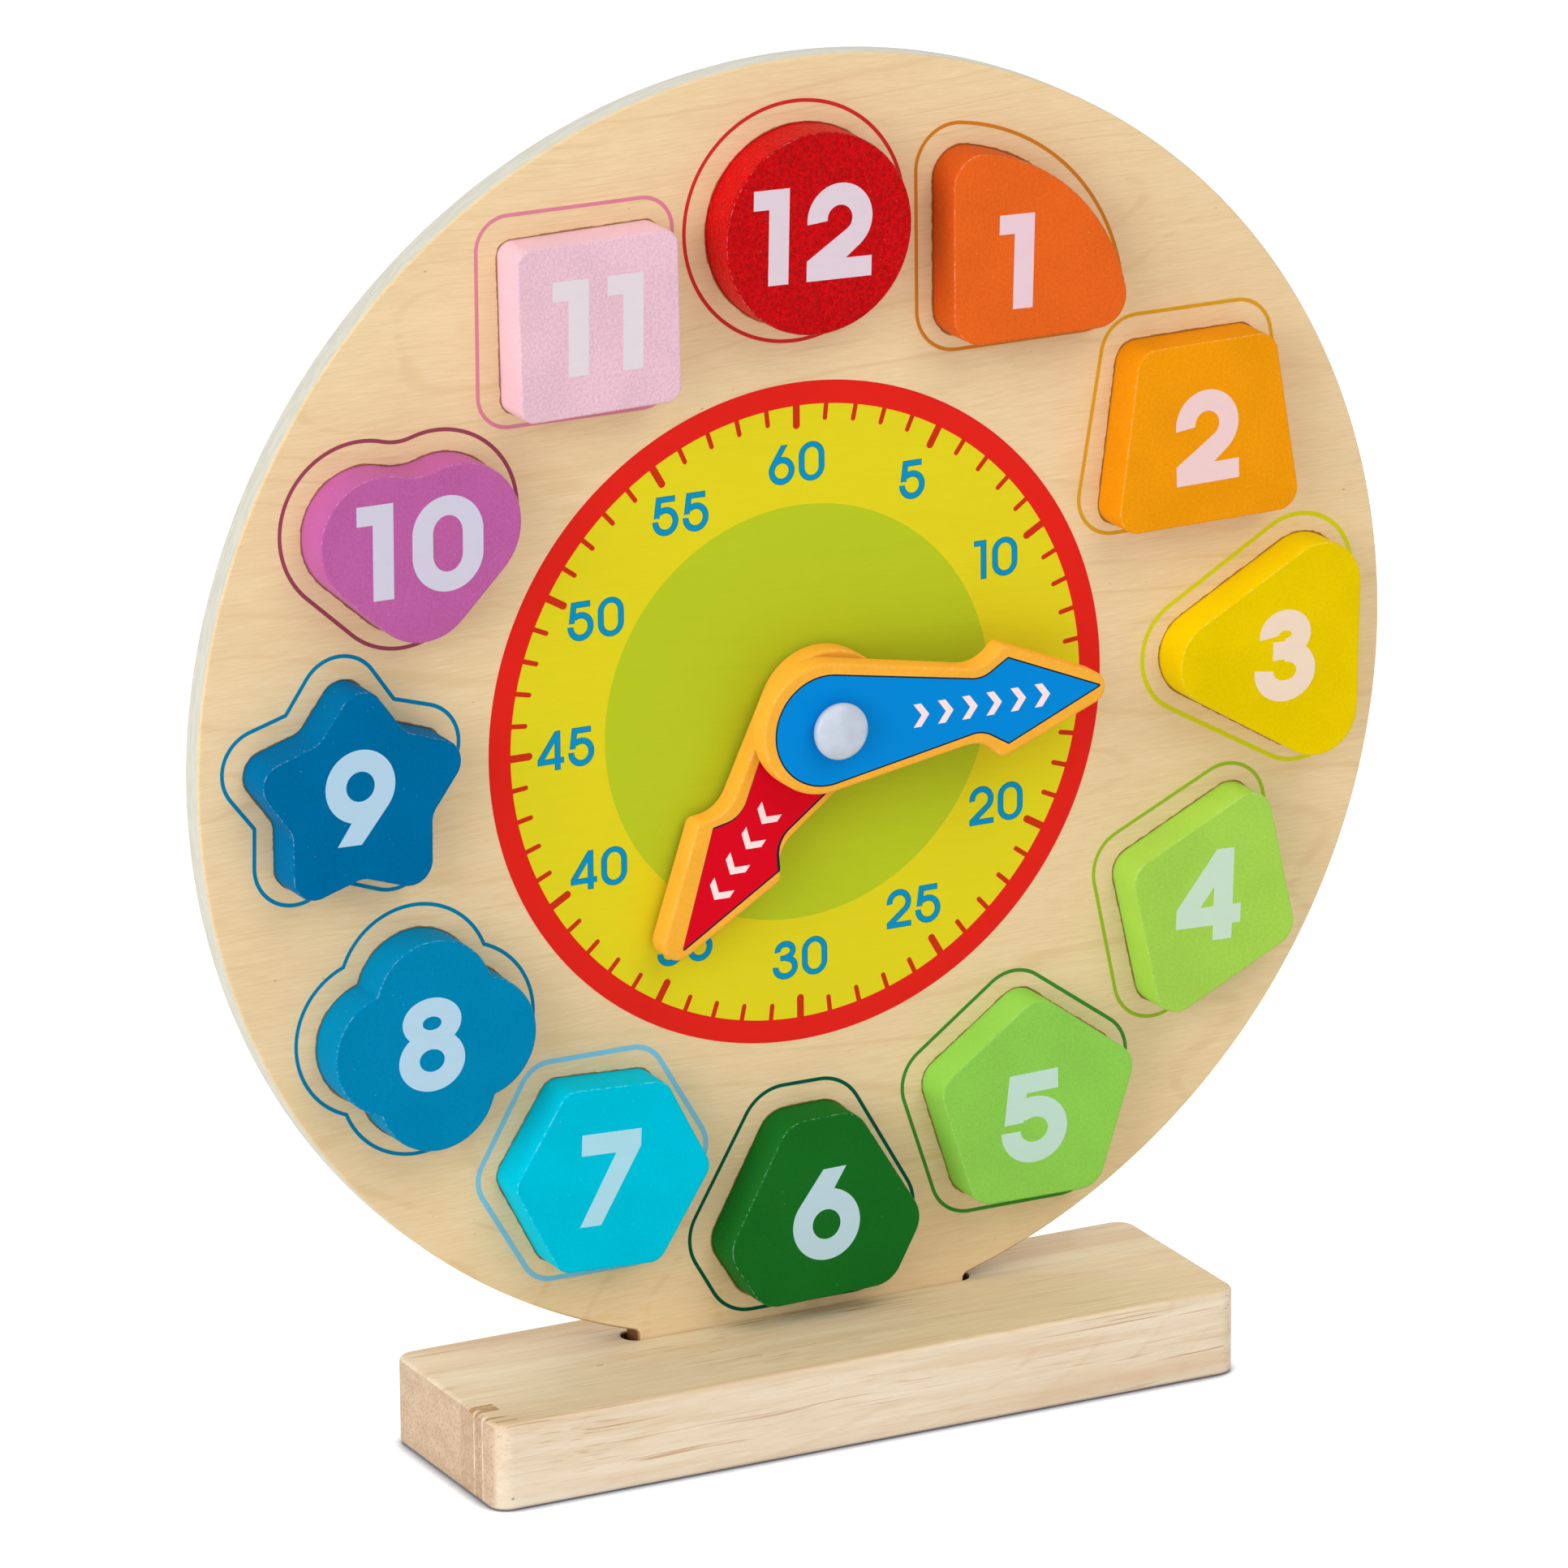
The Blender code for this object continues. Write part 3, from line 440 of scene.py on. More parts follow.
def pine_finish():
    """Bare planed pine: brown dashes along the grain, darker pitted end grain, the joint in the front left corner
    with its two pale glue lines, painted shade that makes the top yellower and a little darker than the front, and
    painted shade, dark brown, in the ends of the slot beside the tab."""
    made, shader, where = new_material("planed_pine", Roughness=0.62, Specular_IOR_Level=0.25)
    spot = where["Object"]
    grain = use_group(wood_grain, scaled(spot, 1.0, (0.31, 0.02, 0.07)), Pale=tone(238, 223, 200),
                      Deep=tone(224, 201, 170), Dark=tone(190, 146, 108), Broad=0.45, Streak=0.3, Fibre=0.28,
                      Dashes=0.85, Rings=0.06)
    bands = ramp(noise(spot, (9.0, 100.0, 190.0), 3.0, 0.6), 0.5, 0.68)
    colour = blend(times(bands, 0.5), grain["Color"], tone(214, 183, 146))
    pores = noise(spot, (1900.0, 2100.0, 1500.0), 2.0, 0.6)
    rings = ramp(noise(spot, (40.0, 150.0, 330.0), 3.0), 0.35, 0.65)
    end_colour = blend(rings, tone(214, 188, 158), tone(206, 178, 147))
    end_colour = blend(times(ramp(pores, 0.5, 0.62), 0.5), end_colour, tone(166, 128, 96))
    facing = split(where["Normal"])
    # Painted shade: faces that look up are tinted yellower and a little darker than the front, for how the light
    # falls; the wood is the same.
    colour = blend(ramp(facing["Z"], 0.6, 0.9), colour, (1.0, 0.94, 0.82, 1.0), "MULTIPLY")
    end_on = ramp(calc("ABSOLUTE", facing["X"]), 0.75, 0.95)
    colour = blend(end_on, colour, end_colour)
    torn = ramp(noise(spot, (180.0, 900.0, 500.0)), 0.3, 0.55)
    for centre, reach, amount, shade in PINE_MARKS:
        mask = use_group(mark_box, spot, Centre=[MM * value for value in centre],
                         Reach=[MM * value for value in reach])["Mask"]
        colour = blend(times(times(mask, amount), torn), colour, tone(*shade))
    coat(shader, colour, calc("ADD", grain["Height"], times(pores, end_on)), 0.00012, 0.5)
    return made


stand_outline = trapezoid(STAND_LENGTH, STAND_LENGTH, STAND_DEPTH, STAND_CORNER)
slot_outline = [(-SLOT_REACH, SLOT_MIDDLE, SLOT_RADIUS), (SLOT_REACH, SLOT_MIDDLE, SLOT_RADIUS)]
stand_rings = rounded_side(STAND_HEIGHT, 0.0, STAND_ARRIS, STAND_ARRIS)
slot_rings = front_edge(STAND_HEIGHT, SLOT_FLOOR, SLOT_ARRIS) * np.array([-1.0, 1.0, 1.0])
make_piece("pine_stand", [
    band(stand_outline, stand_rings),
    band(slot_outline, slot_rings, outward=False),
    sheet([ring_line(stand_outline, stand_rings[0][0])], [ring_line(slot_outline, slot_rings[0][0])], STAND_HEIGHT),
    sheet([ring_line(slot_outline, 0.0)], [], SLOT_FLOOR),
    sheet([ring_line(stand_outline, stand_rings[-1][0])], [], 0.0, forward=False),
], in_plan, pine_finish(), "stand", ["stand_base"])


# Face panel: sawn from pale plywood and varnished, with twelve through pockets in the shapes of the blocks. Its
# sawn edge is greyer than its face and shows the plies; that pale grey is partly the wood's own and partly
# painted light from the bright surround.
PANEL_THICKNESS = 3.6
GLUE_GAP = 0.3
GLUE_LINE = 0.02
PANEL_ARRIS = 0.6
DISC_RADIUS = 144.92
DISC_RISE = 2.3
TAB_WIDTH = 81.2
TAB_FOOT = -151.2
TAB_CORNER = 1.0
TAB_FILLET = 1.5
BORE_RADIUS = 3.3
PIVOT = (1.4, 0.6)
ARC_PULLEYS = 24
POCKET_GAP = 0.06
POCKET_ARRIS = 0.08
# The fringe and walls round each pocket are partly torn fibres and partly painted shade beside the block.
TORN_AND_SHADED_WIDTH = 0.6
TORN_AND_SHADED_ARRIS = 4.0
pivot_across, _, pivot_height = next(joint["pos_m"] for joint in frame["joints"] if joint["name"] == "minute_turn")
face_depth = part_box("face_panel")[0].y
panel_rear = -PANEL_THICKNESS - GLUE_GAP + GLUE_LINE


def on_face(points):
    """Millimetres (across, up, out of the face) from the dial's middle, as metres in the model's frame. The pivot
    lies a little aside from it."""
    return np.column_stack([pivot_across + (points[:, 0] - PIVOT[0]) * MM, face_depth - points[:, 2] * MM,
                            pivot_height + (points[:, 1] - PIVOT[1]) * MM])


def moved(pulleys, across, up, degrees=0.0):
    """The same pulleys turned anticlockwise about their reference point and then carried to a place."""
    cosine, sine = direction(degrees)
    return [(across + x * cosine - z * sine, up + x * sine + z * cosine, r) for x, z, r in pulleys]


def round_about(reach, angles, radius):
    """Pulleys at one distance from the reference point, at angles in radians."""
    return [(reach * math.cos(a), reach * math.sin(a), radius) for a in angles]


def in_turn(first, second):
    return [pulley for pair in zip(first, second) for pulley in pair]


def regular(count, reach, radius, first):
    """Pulleys of a regular polygon whose rounded corners reach the given distance from its centre."""
    return round_about(reach - radius, np.radians(first + 360.0 * np.arange(count) / count), radius)


def quarter_disc(radius, corner):
    """A quarter disc from its square corner: the round side is a run of small pulleys on an arc."""
    inner = radius - corner
    first = math.asin(corner / inner)
    return [(corner, corner, corner),
            *round_about(inner, np.linspace(first, math.pi / 2.0 - first, ARC_PULLEYS), corner)]


def rhombus(side_length, acute, radius):
    along = np.array([side_length / 2.0, 0.0])
    aside = np.array(direction(acute)) * side_length / 2.0
    return rounded_corners([-along - aside, along - aside, along + aside, aside - along], radius)


def cut_triangle(long_reach, short_reach, radius):
    """Six sides at 60 degrees, whose distances from the centre alternate. A corner is where two sides meet."""
    reaches = [long_reach, short_reach] * 3
    normals = unit(np.radians(-90.0 + 60.0 * np.arange(7)))
    corners = [np.linalg.solve(normals[i:i + 2], [reaches[i], reaches[(i + 1) % 6]]) for i in range(6)]
    return rounded_corners(corners, radius)


def hexagon(half_height, radius):
    return regular(6, (half_height - radius) / math.cos(math.radians(30.0)) + radius, radius, 0.0)


def flower(lobe, offset, root):
    """Four round petals, and a small round root outside the piece in each notch, touching two petals."""
    half = offset / math.sqrt(2.0)
    notch = half + math.sqrt((lobe + root) ** 2 - half ** 2)
    return in_turn(round_about(offset, np.radians([0, 90, 180, 270]), lobe),
                   round_about(notch, np.radians([45, 135, 225, 315]), -root))


def star(tip_reach, tip_radius, hollow_reach, hollow_radius):
    fifths = 72.0 * np.arange(5)
    return in_turn(round_about(tip_reach - tip_radius, np.radians(90.0 + fifths), tip_radius),
                   round_about(hollow_reach + hollow_radius, np.radians(126.0 + fifths), -hollow_radius))


def heart(lobe, offset, tip_radius, tip_drop, dip_radius):
    dip = math.sqrt((lobe + dip_radius) ** 2 - offset ** 2)
    return [(offset, 0.0, lobe), (0.0, dip, -dip_radius), (-offset, 0.0, lobe), (0.0, -tip_drop, tip_radius)]


# Each block's shape round its own reference point, where that point lies from the dial's middle, and its turn
SHAPES = {
    "block_01_quarter_round": (quarter_disc(43.3, 7.0), (33.636, 80.400), 0.0),
    "block_02_trapezoid": (trapezoid(46.4, 34.1, 41.3, 4.9), (96.886, 53.184), 0.8),
    "block_03_triangle": (regular(3, 26.9, 10.2, 180.0), (117.042, -0.652), -1.3),
    "block_04_rhombus": (rhombus(38.05, 76.7, 5.7), (98.920, -56.068), 25.8),
    "block_05_pentagon": (regular(5, 24.9, 5.9, 90.0), (54.233, -96.754), -0.4),
    "block_06_cut_triangle": (cut_triangle(19.0, 23.35, 7.4), (0.972, -113.539), 1.5),
    "block_07_hexagon": (hexagon(20.9, 4.3), (-51.029, -95.671), -2.8),
    "block_08_flower": (flower(13.95, 10.0, 0.8), (-93.140, -58.543), 1.1),
    "block_09_star": (star(24.3, 5.3, 17.6, 5.1), (-109.472, -0.696), -0.4),
    "block_10_heart": (heart(14.5, 9.1, 12.8, 11.0, 16.0), (-94.544, 56.211), 1.5),
    "block_11_square": (trapezoid(38.2, 38.2, 38.2, 3.4), (-51.791, 96.467), 0.9),
    "block_12_circle": ([(0.0, 0.0, 22.4)], (0.884, 110.290), 0.0),
}
block_outlines = {name: moved(shape, *place, turn) for name, (shape, place, turn) in SHAPES.items()}


def board_outline():
    """The disc with its tab: tab corners, hollow fillets where it meets the disc, and the disc itself."""
    edge = TAB_WIDTH / 2.0
    root = edge + TAB_FILLET
    hollow = DISC_RADIUS + TAB_FILLET
    corners = [(x, TAB_FOOT + TAB_CORNER, TAB_CORNER) for x in (TAB_CORNER - edge, edge - TAB_CORNER)]
    right, left = [(x, DISC_RISE - math.sqrt(hollow ** 2 - (x - WORK_SHIFT) ** 2), -TAB_FILLET)
                   for x in (root, -root)]
    return [*corners, right, (WORK_SHIFT, DISC_RISE, DISC_RADIUS), left]


def arris_of(shader):
    return add_node(shader.id_data, "Attribute", attribute_name="arris").outputs["Fac"]


def side_on(where, low, high):
    """0 where the surface faces the reader or faces away, and 1 on a plate's side."""
    return calc("SUBTRACT", 1.0, ramp(calc("ABSOLUTE", split(where["Normal"])["Y"]), low, high))


def plywood_finish(name, pale, deep, edge_pale, edge_deep, roughness, shift):
    """Plywood: fine level grain on the faces with small pin marks; plies along the sawn edge in a pale grey, partly
    the wood's own and partly painted light from the bright surround; painted shade, dark brown, on the tab where it
    lies in the slot; and a ragged brown fringe at the pockets, where the attribute arris climbs to 4, partly torn
    fibres and partly painted shade beside the blocks."""
    made, shader, where = new_material(name, Roughness=roughness, Specular_IOR_Level=0.15)
    spot = where["Object"]
    grain = use_group(wood_grain, scaled(spot, 1.0, shift), Pale=pale, Deep=deep, Dark=tone(206, 164, 112),
                      Broad=0.17, Streak=0.1, Fibre=0.36, Dashes=0.1, Rings=0.13)
    pins = ramp(noise(spot, (520.0, 520.0, 900.0), 0.0), 0.86, 0.89)
    colour = blend(times(pins, 0.45), grain["Color"], tone(150, 112, 80))
    # Where arris climbs towards 4 at the pockets, the brown fringe is partly torn fibres and partly painted shade
    # beside the block.
    cut = arris_of(shader)
    ragged = ramp(noise(spot, 420.0, 2.0, 0.6), 0.32, 0.66)
    torn = ramp(calc("MULTIPLY_ADD", ragged, -1.7, cut), 0.8, 2.0)
    # Painted shade: low down, where the tab sits in the slot, the sawn edge turns dark brown and its front arris
    # takes the fringe's brown.
    low = calc("SUBTRACT", 1.0, ramp(split(spot)["Z"], 0.019, 0.036))
    torn = calc("MAXIMUM", torn, times(low, ramp(cut, 0.2, 0.9)))
    # The sawn edge's pale grey is partly the plies' own colour and partly painted light from the bright surround.
    plies = ramp(noise(spot, (200.0, 900.0, 200.0)), 0.4, 0.6)
    edge_colour = blend(low, blend(plies, edge_pale, edge_deep), tone(112, 72, 42))
    colour = blend(side_on(where, 0.25, 0.6), colour, edge_colour)
    coat(shader, blend(torn, colour, tone(166, 120, 72)), grain["Height"], 0.00006, 0.5)
    return made


# The third and fourth tones, for the sawn edge, are partly the plies' own grey and partly painted light.
face_plywood = plywood_finish("varnished_plywood", tone(236, 211, 168), tone(224, 194, 147), tone(213, 211, 197),
                              tone(206, 204, 189), 0.48, (0.0, 0.03, 0.11))
board_pulleys = board_outline()
board_rings = front_edge(0.0, panel_rear, PANEL_ARRIS)
pocket_rings = np.array([[POCKET_GAP + TORN_AND_SHADED_WIDTH, 0.0, 0.0], [POCKET_GAP + POCKET_ARRIS, 0.0, TORN_AND_SHADED_ARRIS],
                         [POCKET_GAP, -POCKET_ARRIS, TORN_AND_SHADED_ARRIS], [POCKET_GAP, panel_rear, TORN_AND_SHADED_ARRIS]])
bore = [(*PIVOT, BORE_RADIUS)]
bore_rings = pocket_rings[1:] - np.array([POCKET_GAP, 0.0, 0.0])
openings = [(outline, pocket_rings) for outline in block_outlines.values()] + [(bore, bore_rings)]
make_piece("clock_face", plate(board_pulleys, board_rings, openings), on_face, face_plywood, "clock_board",
           ["face_panel"])


# Backing panel: bare plywood sawn to the same outline and glued behind the face panel, where it closes the
# pockets. Its rear edge is sanded round.
BACKING_THICKNESS = 2.5
back_front = -PANEL_THICKNESS - GLUE_GAP
back_rear = back_front - BACKING_THICKNESS


def bore_wall(front, rear):
    """The pivot's bore as a straight hole in a plate."""
    return bore, [(0.0, front, 0.0), (0.0, rear, 0.0)]


back_plywood = plywood_finish("plain_plywood", tone(236, 210, 168), tone(222, 190, 145), tone(214, 211, 197),
                              tone(207, 204, 189), 0.6, (0.4, 0.01, 0.3))
back_rings = rounded_side(back_front, back_rear, 0.0, PANEL_ARRIS)[EDGE_STEPS:]
make_piece("backing_board", plate(board_pulleys, back_rings, [bore_wall(back_front, back_rear)]), on_face,
           back_plywood, "clock_board", ["backing_panel"])


# Printed dial: a red ring, a yellow band with sixty ticks and a green disc, screen printed on the face. Each ink
# is its own thin layer, a little prouder than the one that it lies on.
INK_FOOT = -0.02
FIRST_INK = 0.03
BAND_INK = 0.04
SECOND_INK = 0.05
THIRD_INK = 0.07
RING_RADII = (75.0, 69.8)
BAND_RADII = (70.1, 46.8)
DISC_INK_RADIUS = 47.1
DISC_INK_RISE = 0.3
INK_BORE_GAP = 0.4
TICK_OUTER_END = 71.0
SHORT_TICK = (66.6, 0.55)
LONG_TICK = (65.4, 0.85)


def film(solids, low, high, holes=()):
    """A thin layer over the outlines: a front and a rear skin, joined by a wall along the rim."""
    points, triangles, rim = flat_fill(solids, holes)
    count = len(points)
    one, two = rim[:, 0], rim[:, 1]
    wall = np.concatenate([np.stack([one, one + count, two + count], axis=1),
                           np.stack([one, two + count, two], axis=1)])
    return (np.concatenate([at_depth(points, high), at_depth(points, low)]),
            np.concatenate([triangles, triangles[:, ::-1] + count, wall]))


def ink_finish(name, colour, roughness=0.5, grain=0.35):
    """Printed ink: an even colour that follows the wood's fibres a little."""
    made, shader, where = new_material(name, Roughness=roughness, Specular_IOR_Level=0.03)
    weave = use_group(wood_grain, scaled(where["Object"], 1.0, (0.0, 0.03, 0.11)), Pale=tone(255, 255, 255),
                      Deep=tone(243, 242, 238), Dark=tone(230, 226, 221), Broad=0.15, Streak=0.15, Fibre=0.4,
                      Dashes=0.08, Rings=0.08)
    coat(shader, blend(grain, colour, weave["Color"], "MULTIPLY"), weave["Height"], 0.00004, 0.4)
    return made


def circle(radius, across=0.0, up=0.0):
    return belt([(across, up, radius)])


def print_ink(name, solids, height, ink, holes=(), under=0.0, body="clock_board"):
    """A layer of ink that rises by height from the surface under it, and sinks into it by a hair."""
    make_piece(name, [film(solids, under + INK_FOOT, under + height, holes)], on_face, ink, body)


print_ink("minute_ring", [circle(RING_RADII[0])], THIRD_INK, ink_finish("red_ink", tone(224, 36, 27)),
          [circle(RING_RADII[1])])
print_ink("minute_band", [circle(BAND_RADII[0])], BAND_INK, ink_finish("yellow_ink", tone(223, 209, 32)),
          [circle(BAND_RADII[1], 0.0, DISC_INK_RISE)])
print_ink("centre_disc", [circle(DISC_INK_RADIUS, 0.0, DISC_INK_RISE)], SECOND_INK,
          ink_finish("green_ink", tone(182, 198, 36)), [circle(BORE_RADIUS + INK_BORE_GAP, *PIVOT)])

# Ticks: each runs in from the ring to a round end, and every fifth one is longer and wider
ticks = []
for minute in range(60):
    up, across = direction(6.0 * minute)
    inner_end, radius = SHORT_TICK if minute % 5 else LONG_TICK
    ticks.append(belt([(reach * across, reach * up, radius) for reach in (inner_end, TICK_OUTER_END)]))
print_ink("minute_ticks", ticks, SECOND_INK, ink_finish("tick_ink", tone(200, 48, 22)))


# Minute numbers: plain figures from 5 to 60 printed in blue with a fine green edge, upright all the way round.
MINUTE_WIDTHS = {"0": 6.3, "1": 3.1, "2": 6.1, "3": 6.2, "4": 6.4, "5": 6.3, "6": 6.3}
MINUTE_HEIGHT = 8.9
MINUTE_STROKE = 1.45
MINUTE_REACH = 56.5
MINUTE_RISE = 0.4
MINUTE_GAP = 1.0
TEN_GAP = 1.4
EDGE_LINE = 0.2
BOWL_POINTS = 49


def bowl(outer, inner, first, last):
    """A bowl of a figure: the outer ellipse's arc out and the inner one's back. An ellipse is (across, up,
    half width, half height), and the angles are in degrees."""
    angle = np.radians(np.linspace(first, last, BOWL_POINTS))
    out, back = [np.array([across, up]) + np.array([wide, high]) * unit(angle)
                 for across, up, wide, high in (outer, inner)]
    line = np.concatenate([out, back[::-1]])
    return line if last > first else line[::-1]


def round_bowl(across, up, wide, high, stroke, first, last):
    return bowl((across, up, wide, high), (across, up, wide - stroke, high - stroke), first, last)


def bar(left, low, right, high):
    return np.array([(left, low), (right, low), (right, high), (left, high)])


def figure(number, width, height, stroke):
    """Outlines whose union is a figure, from its lower left corner, for a given width, height and stroke."""
    w, h, s = width, height, stroke
    reach = w / 2.0
    if number == "0":
        inner = (reach - s, reach - 0.9 * s)
        ends = [bowl((reach, up, reach, reach), (reach, up, *inner), first, first + 180.0)
                for up, first in ((h - reach, 0.0), (reach, 180.0))]
        low = reach - 0.01
        return [*ends, *[bar(x, low, x + s, h - low) for x in (0.0, w - s)]]
    if number == "1":
        return [np.array([(w - s, 0.0), (w, 0.0), (w, h), (0.0, h), (0.0, h - 0.9 * s), (w - s, h - 0.9 * s)])]
    if number == "2":
        cosine, sine = direction(-51.0)
        hook = round_bowl(reach, h - reach, reach, reach, s, -51.0, 186.0)
        tip, heel = [(reach + r * cosine, h - reach + r * sine) for r in (reach, reach - s)]
        foot = 0.93 * s
        slope = math.tan(math.radians(39.0))
        inner = tip[0] - (tip[1] - foot) / slope
        outer = min(h * 0.5, heel[1] - heel[0] * slope)
        return [hook, np.array([(0.0, 0.0), (w, 0.0), (w, foot), (inner, foot), tip, heel, (0.0, max(outer, foot))])]
    if number == "3":
        low, high = 0.558 * h - 0.44 * s, 0.558 * h + 0.44 * s
        top = round_bowl(0.5 * w, (h + low) / 2.0, 0.42 * w, (h - low) / 2.0, s, -90.0, 187.0)
        foot = round_bowl(0.5 * w, high / 2.0, 0.5 * w, high / 2.0, s, -188.0, 90.0)
        return [top, foot, bar(0.3 * w, low, 0.52 * w, high)]
    if number == "4":
        low, top = 0.165 * h, 0.165 * h + 0.92 * s
        stem = 0.87 * w
        lean = (h - top) / (stem - 0.9 * s)
        cut = s * math.hypot(1.0, lean) / lean
        slant = np.array([(0.0, top), (cut, top), (stem, top + (stem - cut) * lean), (stem, h), (stem - 0.9 * s, h)])
        return [slant, bar(0.0, low, w, top),
                np.array([(stem - s, 0.0), (stem, 0.0), (stem, h), (stem - 0.9 * s, h), (stem - s, 0.9 * h)])]
    if number == "5":
        lobe = round_bowl(0.5 * w, 0.366 * h, 0.5 * w, 0.366 * h, s, -182.0, 128.0)
        stem = np.array([(0.05 * w, 0.46 * h), (0.05 * w + s, 0.46 * h), (0.15 * w + s, h), (0.15 * w, h)])
        return [lobe, bar(0.16 * w, h - 0.97 * s, 0.88 * w, h), stem]
    if number == "6":
        lobe = [round_bowl(reach, reach, reach, reach, s, first, first + 180.0) for first in (0.0, 180.0)]
        left = (0.475 * w, h)
        lift = math.hypot(left[0] - reach, h - reach)
        touch = math.atan2(h - reach, left[0] - reach) + math.acos(reach / lift)
        joint = 2.0 * reach - 0.3 * s
        right = left[0] + 1.17 * s
        tail = [left, (reach + reach * math.cos(touch), reach + reach * math.sin(touch)),
                (reach - (reach - 0.5 * s) * 0.5, reach + (reach - 0.5 * s) * 0.866),
                (right - (h - joint) * 0.646, joint), (right, h)]
        return [*lobe, np.array(tail)]
    if number == "7":
        return [np.array([(0.0, 0.0), (0.355 * w, 0.0), (w, 0.815 * h), (w, h), (0.0, h), (0.0, h - s),
                          (0.585 * w, h - s)])]
    if number == "8":
        top_outer, top_inner = (0.5 * w, 0.74 * h, 0.445 * w, 0.26 * h), (0.5 * w, 0.728 * h, 0.143 * w, 0.072 * h)
        low_outer, low_inner = (0.5 * w, 0.327 * h, 0.5 * w, 0.327 * h), (0.5 * w, 0.33 * h, 0.19 * w, 0.12 * h)
        return [bowl(outer, inner, first, first + 180.0) for first in (0.0, 180.0)
                for outer, inner in ((top_outer, top_inner), (low_outer, low_inner))]
    return [np.array([w, h]) - line for line in figure("6", w, h, s)]


def turned(points, degrees, place):
    """Points turned clockwise and then carried to a place."""
    cosine, sine = direction(degrees)
    return points @ np.array([[cosine, -sine], [sine, cosine]]) + np.array(place)


def written(text, widths, height, stroke, gap, centre, degrees=0.0, inset=0.0):
    """Figures side by side about a centre, turned clockwise. An inset makes the same figures thinner all round."""
    lines = []
    across = -(sum(widths[letter] for letter in text) + gap * (len(text) - 1)) / 2.0
    for letter in text:
        shapes = figure(letter, widths[letter] - 2.0 * inset, height - 2.0 * inset, stroke - 2.0 * inset)
        lines += [line + np.array([across + inset, inset - height / 2.0]) for line in shapes]
        across += widths[letter] + gap
    return [turned(line, degrees, centre) for line in lines]


def minute_numbers(inset):
    lines = []
    for number in range(5, 65, 5):
        up, across = direction(6.0 * number)
        centre = (MINUTE_REACH * across, MINUTE_REACH * up + MINUTE_RISE)
        lines += written(str(number), MINUTE_WIDTHS, MINUTE_HEIGHT, MINUTE_STROKE,
                         TEN_GAP if number == 10 else MINUTE_GAP, centre, inset=inset)
    return lines


print_ink("minute_numbers_edge", minute_numbers(0.0), SECOND_INK, ink_finish("teal_ink", tone(40, 126, 126)))
print_ink("minute_numbers", minute_numbers(EDGE_LINE), THIRD_INK, ink_finish("azure_ink", tone(6, 144, 198)))


# Printed outlines: a coloured line round every pocket, about 4 mm outside it, that shows a child where each
# block belongs. The flower's line keeps sharp notches.
PETAL_POINTS = 720


def petal_line(pulleys, grow):
    """The flower's outline from its round petals alone: at each angle the reach is the largest over the petals p
    of p.u + sqrt(R^2 - |p x u|^2), with u the direction and R the petal's radius plus grow."""
    petals = np.array([(x, z) for x, z, radius in pulleys if radius > 0.0])
    size = pulleys[0][2] + grow
    middle = petals.mean(axis=0)
    petals = petals - middle
    ray = unit(np.linspace(0.0, 2.0 * math.pi, PETAL_POINTS, endpoint=False))
    beside = petals[:, None, 0] * ray[None, :, 1] - petals[:, None, 1] * ray[None, :, 0]
    root = np.sqrt(np.maximum(size ** 2 - beside ** 2, 0.0))
    reach = np.max(np.where(np.abs(beside) < size, petals @ ray.T + root, 0.0), axis=0)
    return ray * reach[:, None] + middle


# Each line's shape, its place and turn, how far outside the shape it runs, its width and its ink
LINES = {
    "block_01": (quarter_disc(42.3, 5.3), (34.00, 81.72), 0.2, 4.42, 0.82, (204, 126, 36)),
    "block_02": (trapezoid(47.1, 32.9, 40.8, 4.5), (96.56, 54.81), 0.0, 4.2, 0.85, (214, 158, 34)),
    "block_03": (regular(3, 26.6, 9.4, 180.0), (116.62, -0.41), 0.1, 4.26, 1.0, (207, 207, 22)),
    "block_04": (rhombus(37.9, 76.6, 5.6), (97.85, -55.64), 25.06, 4.11, 0.82, (152, 182, 40)),
    "block_05": (regular(5, 25.1, 5.5, 90.0), (53.50, -96.79), 0.16, 4.1, 0.84, (62, 136, 50)),
    "block_06": (cut_triangle(18.82, 23.58, 6.44), (0.04, -112.94), -0.19, 4.35, 0.84, (0, 86, 62)),
    "block_07": (hexagon(21.1, 3.75), (-51.38, -95.30), 0.0, 3.98, 1.2, (128, 192, 216)),
    "block_08": (flower(13.9, 10.4, 0.8), (-93.59, -57.55), 0.0, 4.03, 0.84, (0, 126, 166)),
    "block_09": (star(24.4, 4.95, 17.25, 5.0), (-109.96, 0.20), 0.0, 4.44, 0.88, (0, 126, 170)),
    "block_10": (heart(14.7, 8.9, 12.8, 10.9, 16.0), (-95.28, 56.87), 0.4, 4.34, 0.88, (152, 68, 88)),
    "block_11": (trapezoid(38.2, 38.2, 38.2, 3.25), (-52.88, 97.54), -0.1, 4.19, 0.85, (216, 130, 152)),
    "block_12": ([(0.0, 0.0, 22.36)], (-0.12, 111.06), 0.0, 4.24, 0.85, (202, 46, 42)),
}
for name, (shape, place, turn, away, width, colour) in LINES.items():
    pulleys = moved(shape, *place, turn)
    outline = petal_line if name == "block_08" else belt
    print_ink(name + "_line", [outline(pulleys, away + width / 2.0)], FIRST_INK,
              ink_finish(name + "_line_ink", tone(*colour)), [outline(pulleys, away - width / 2.0)])


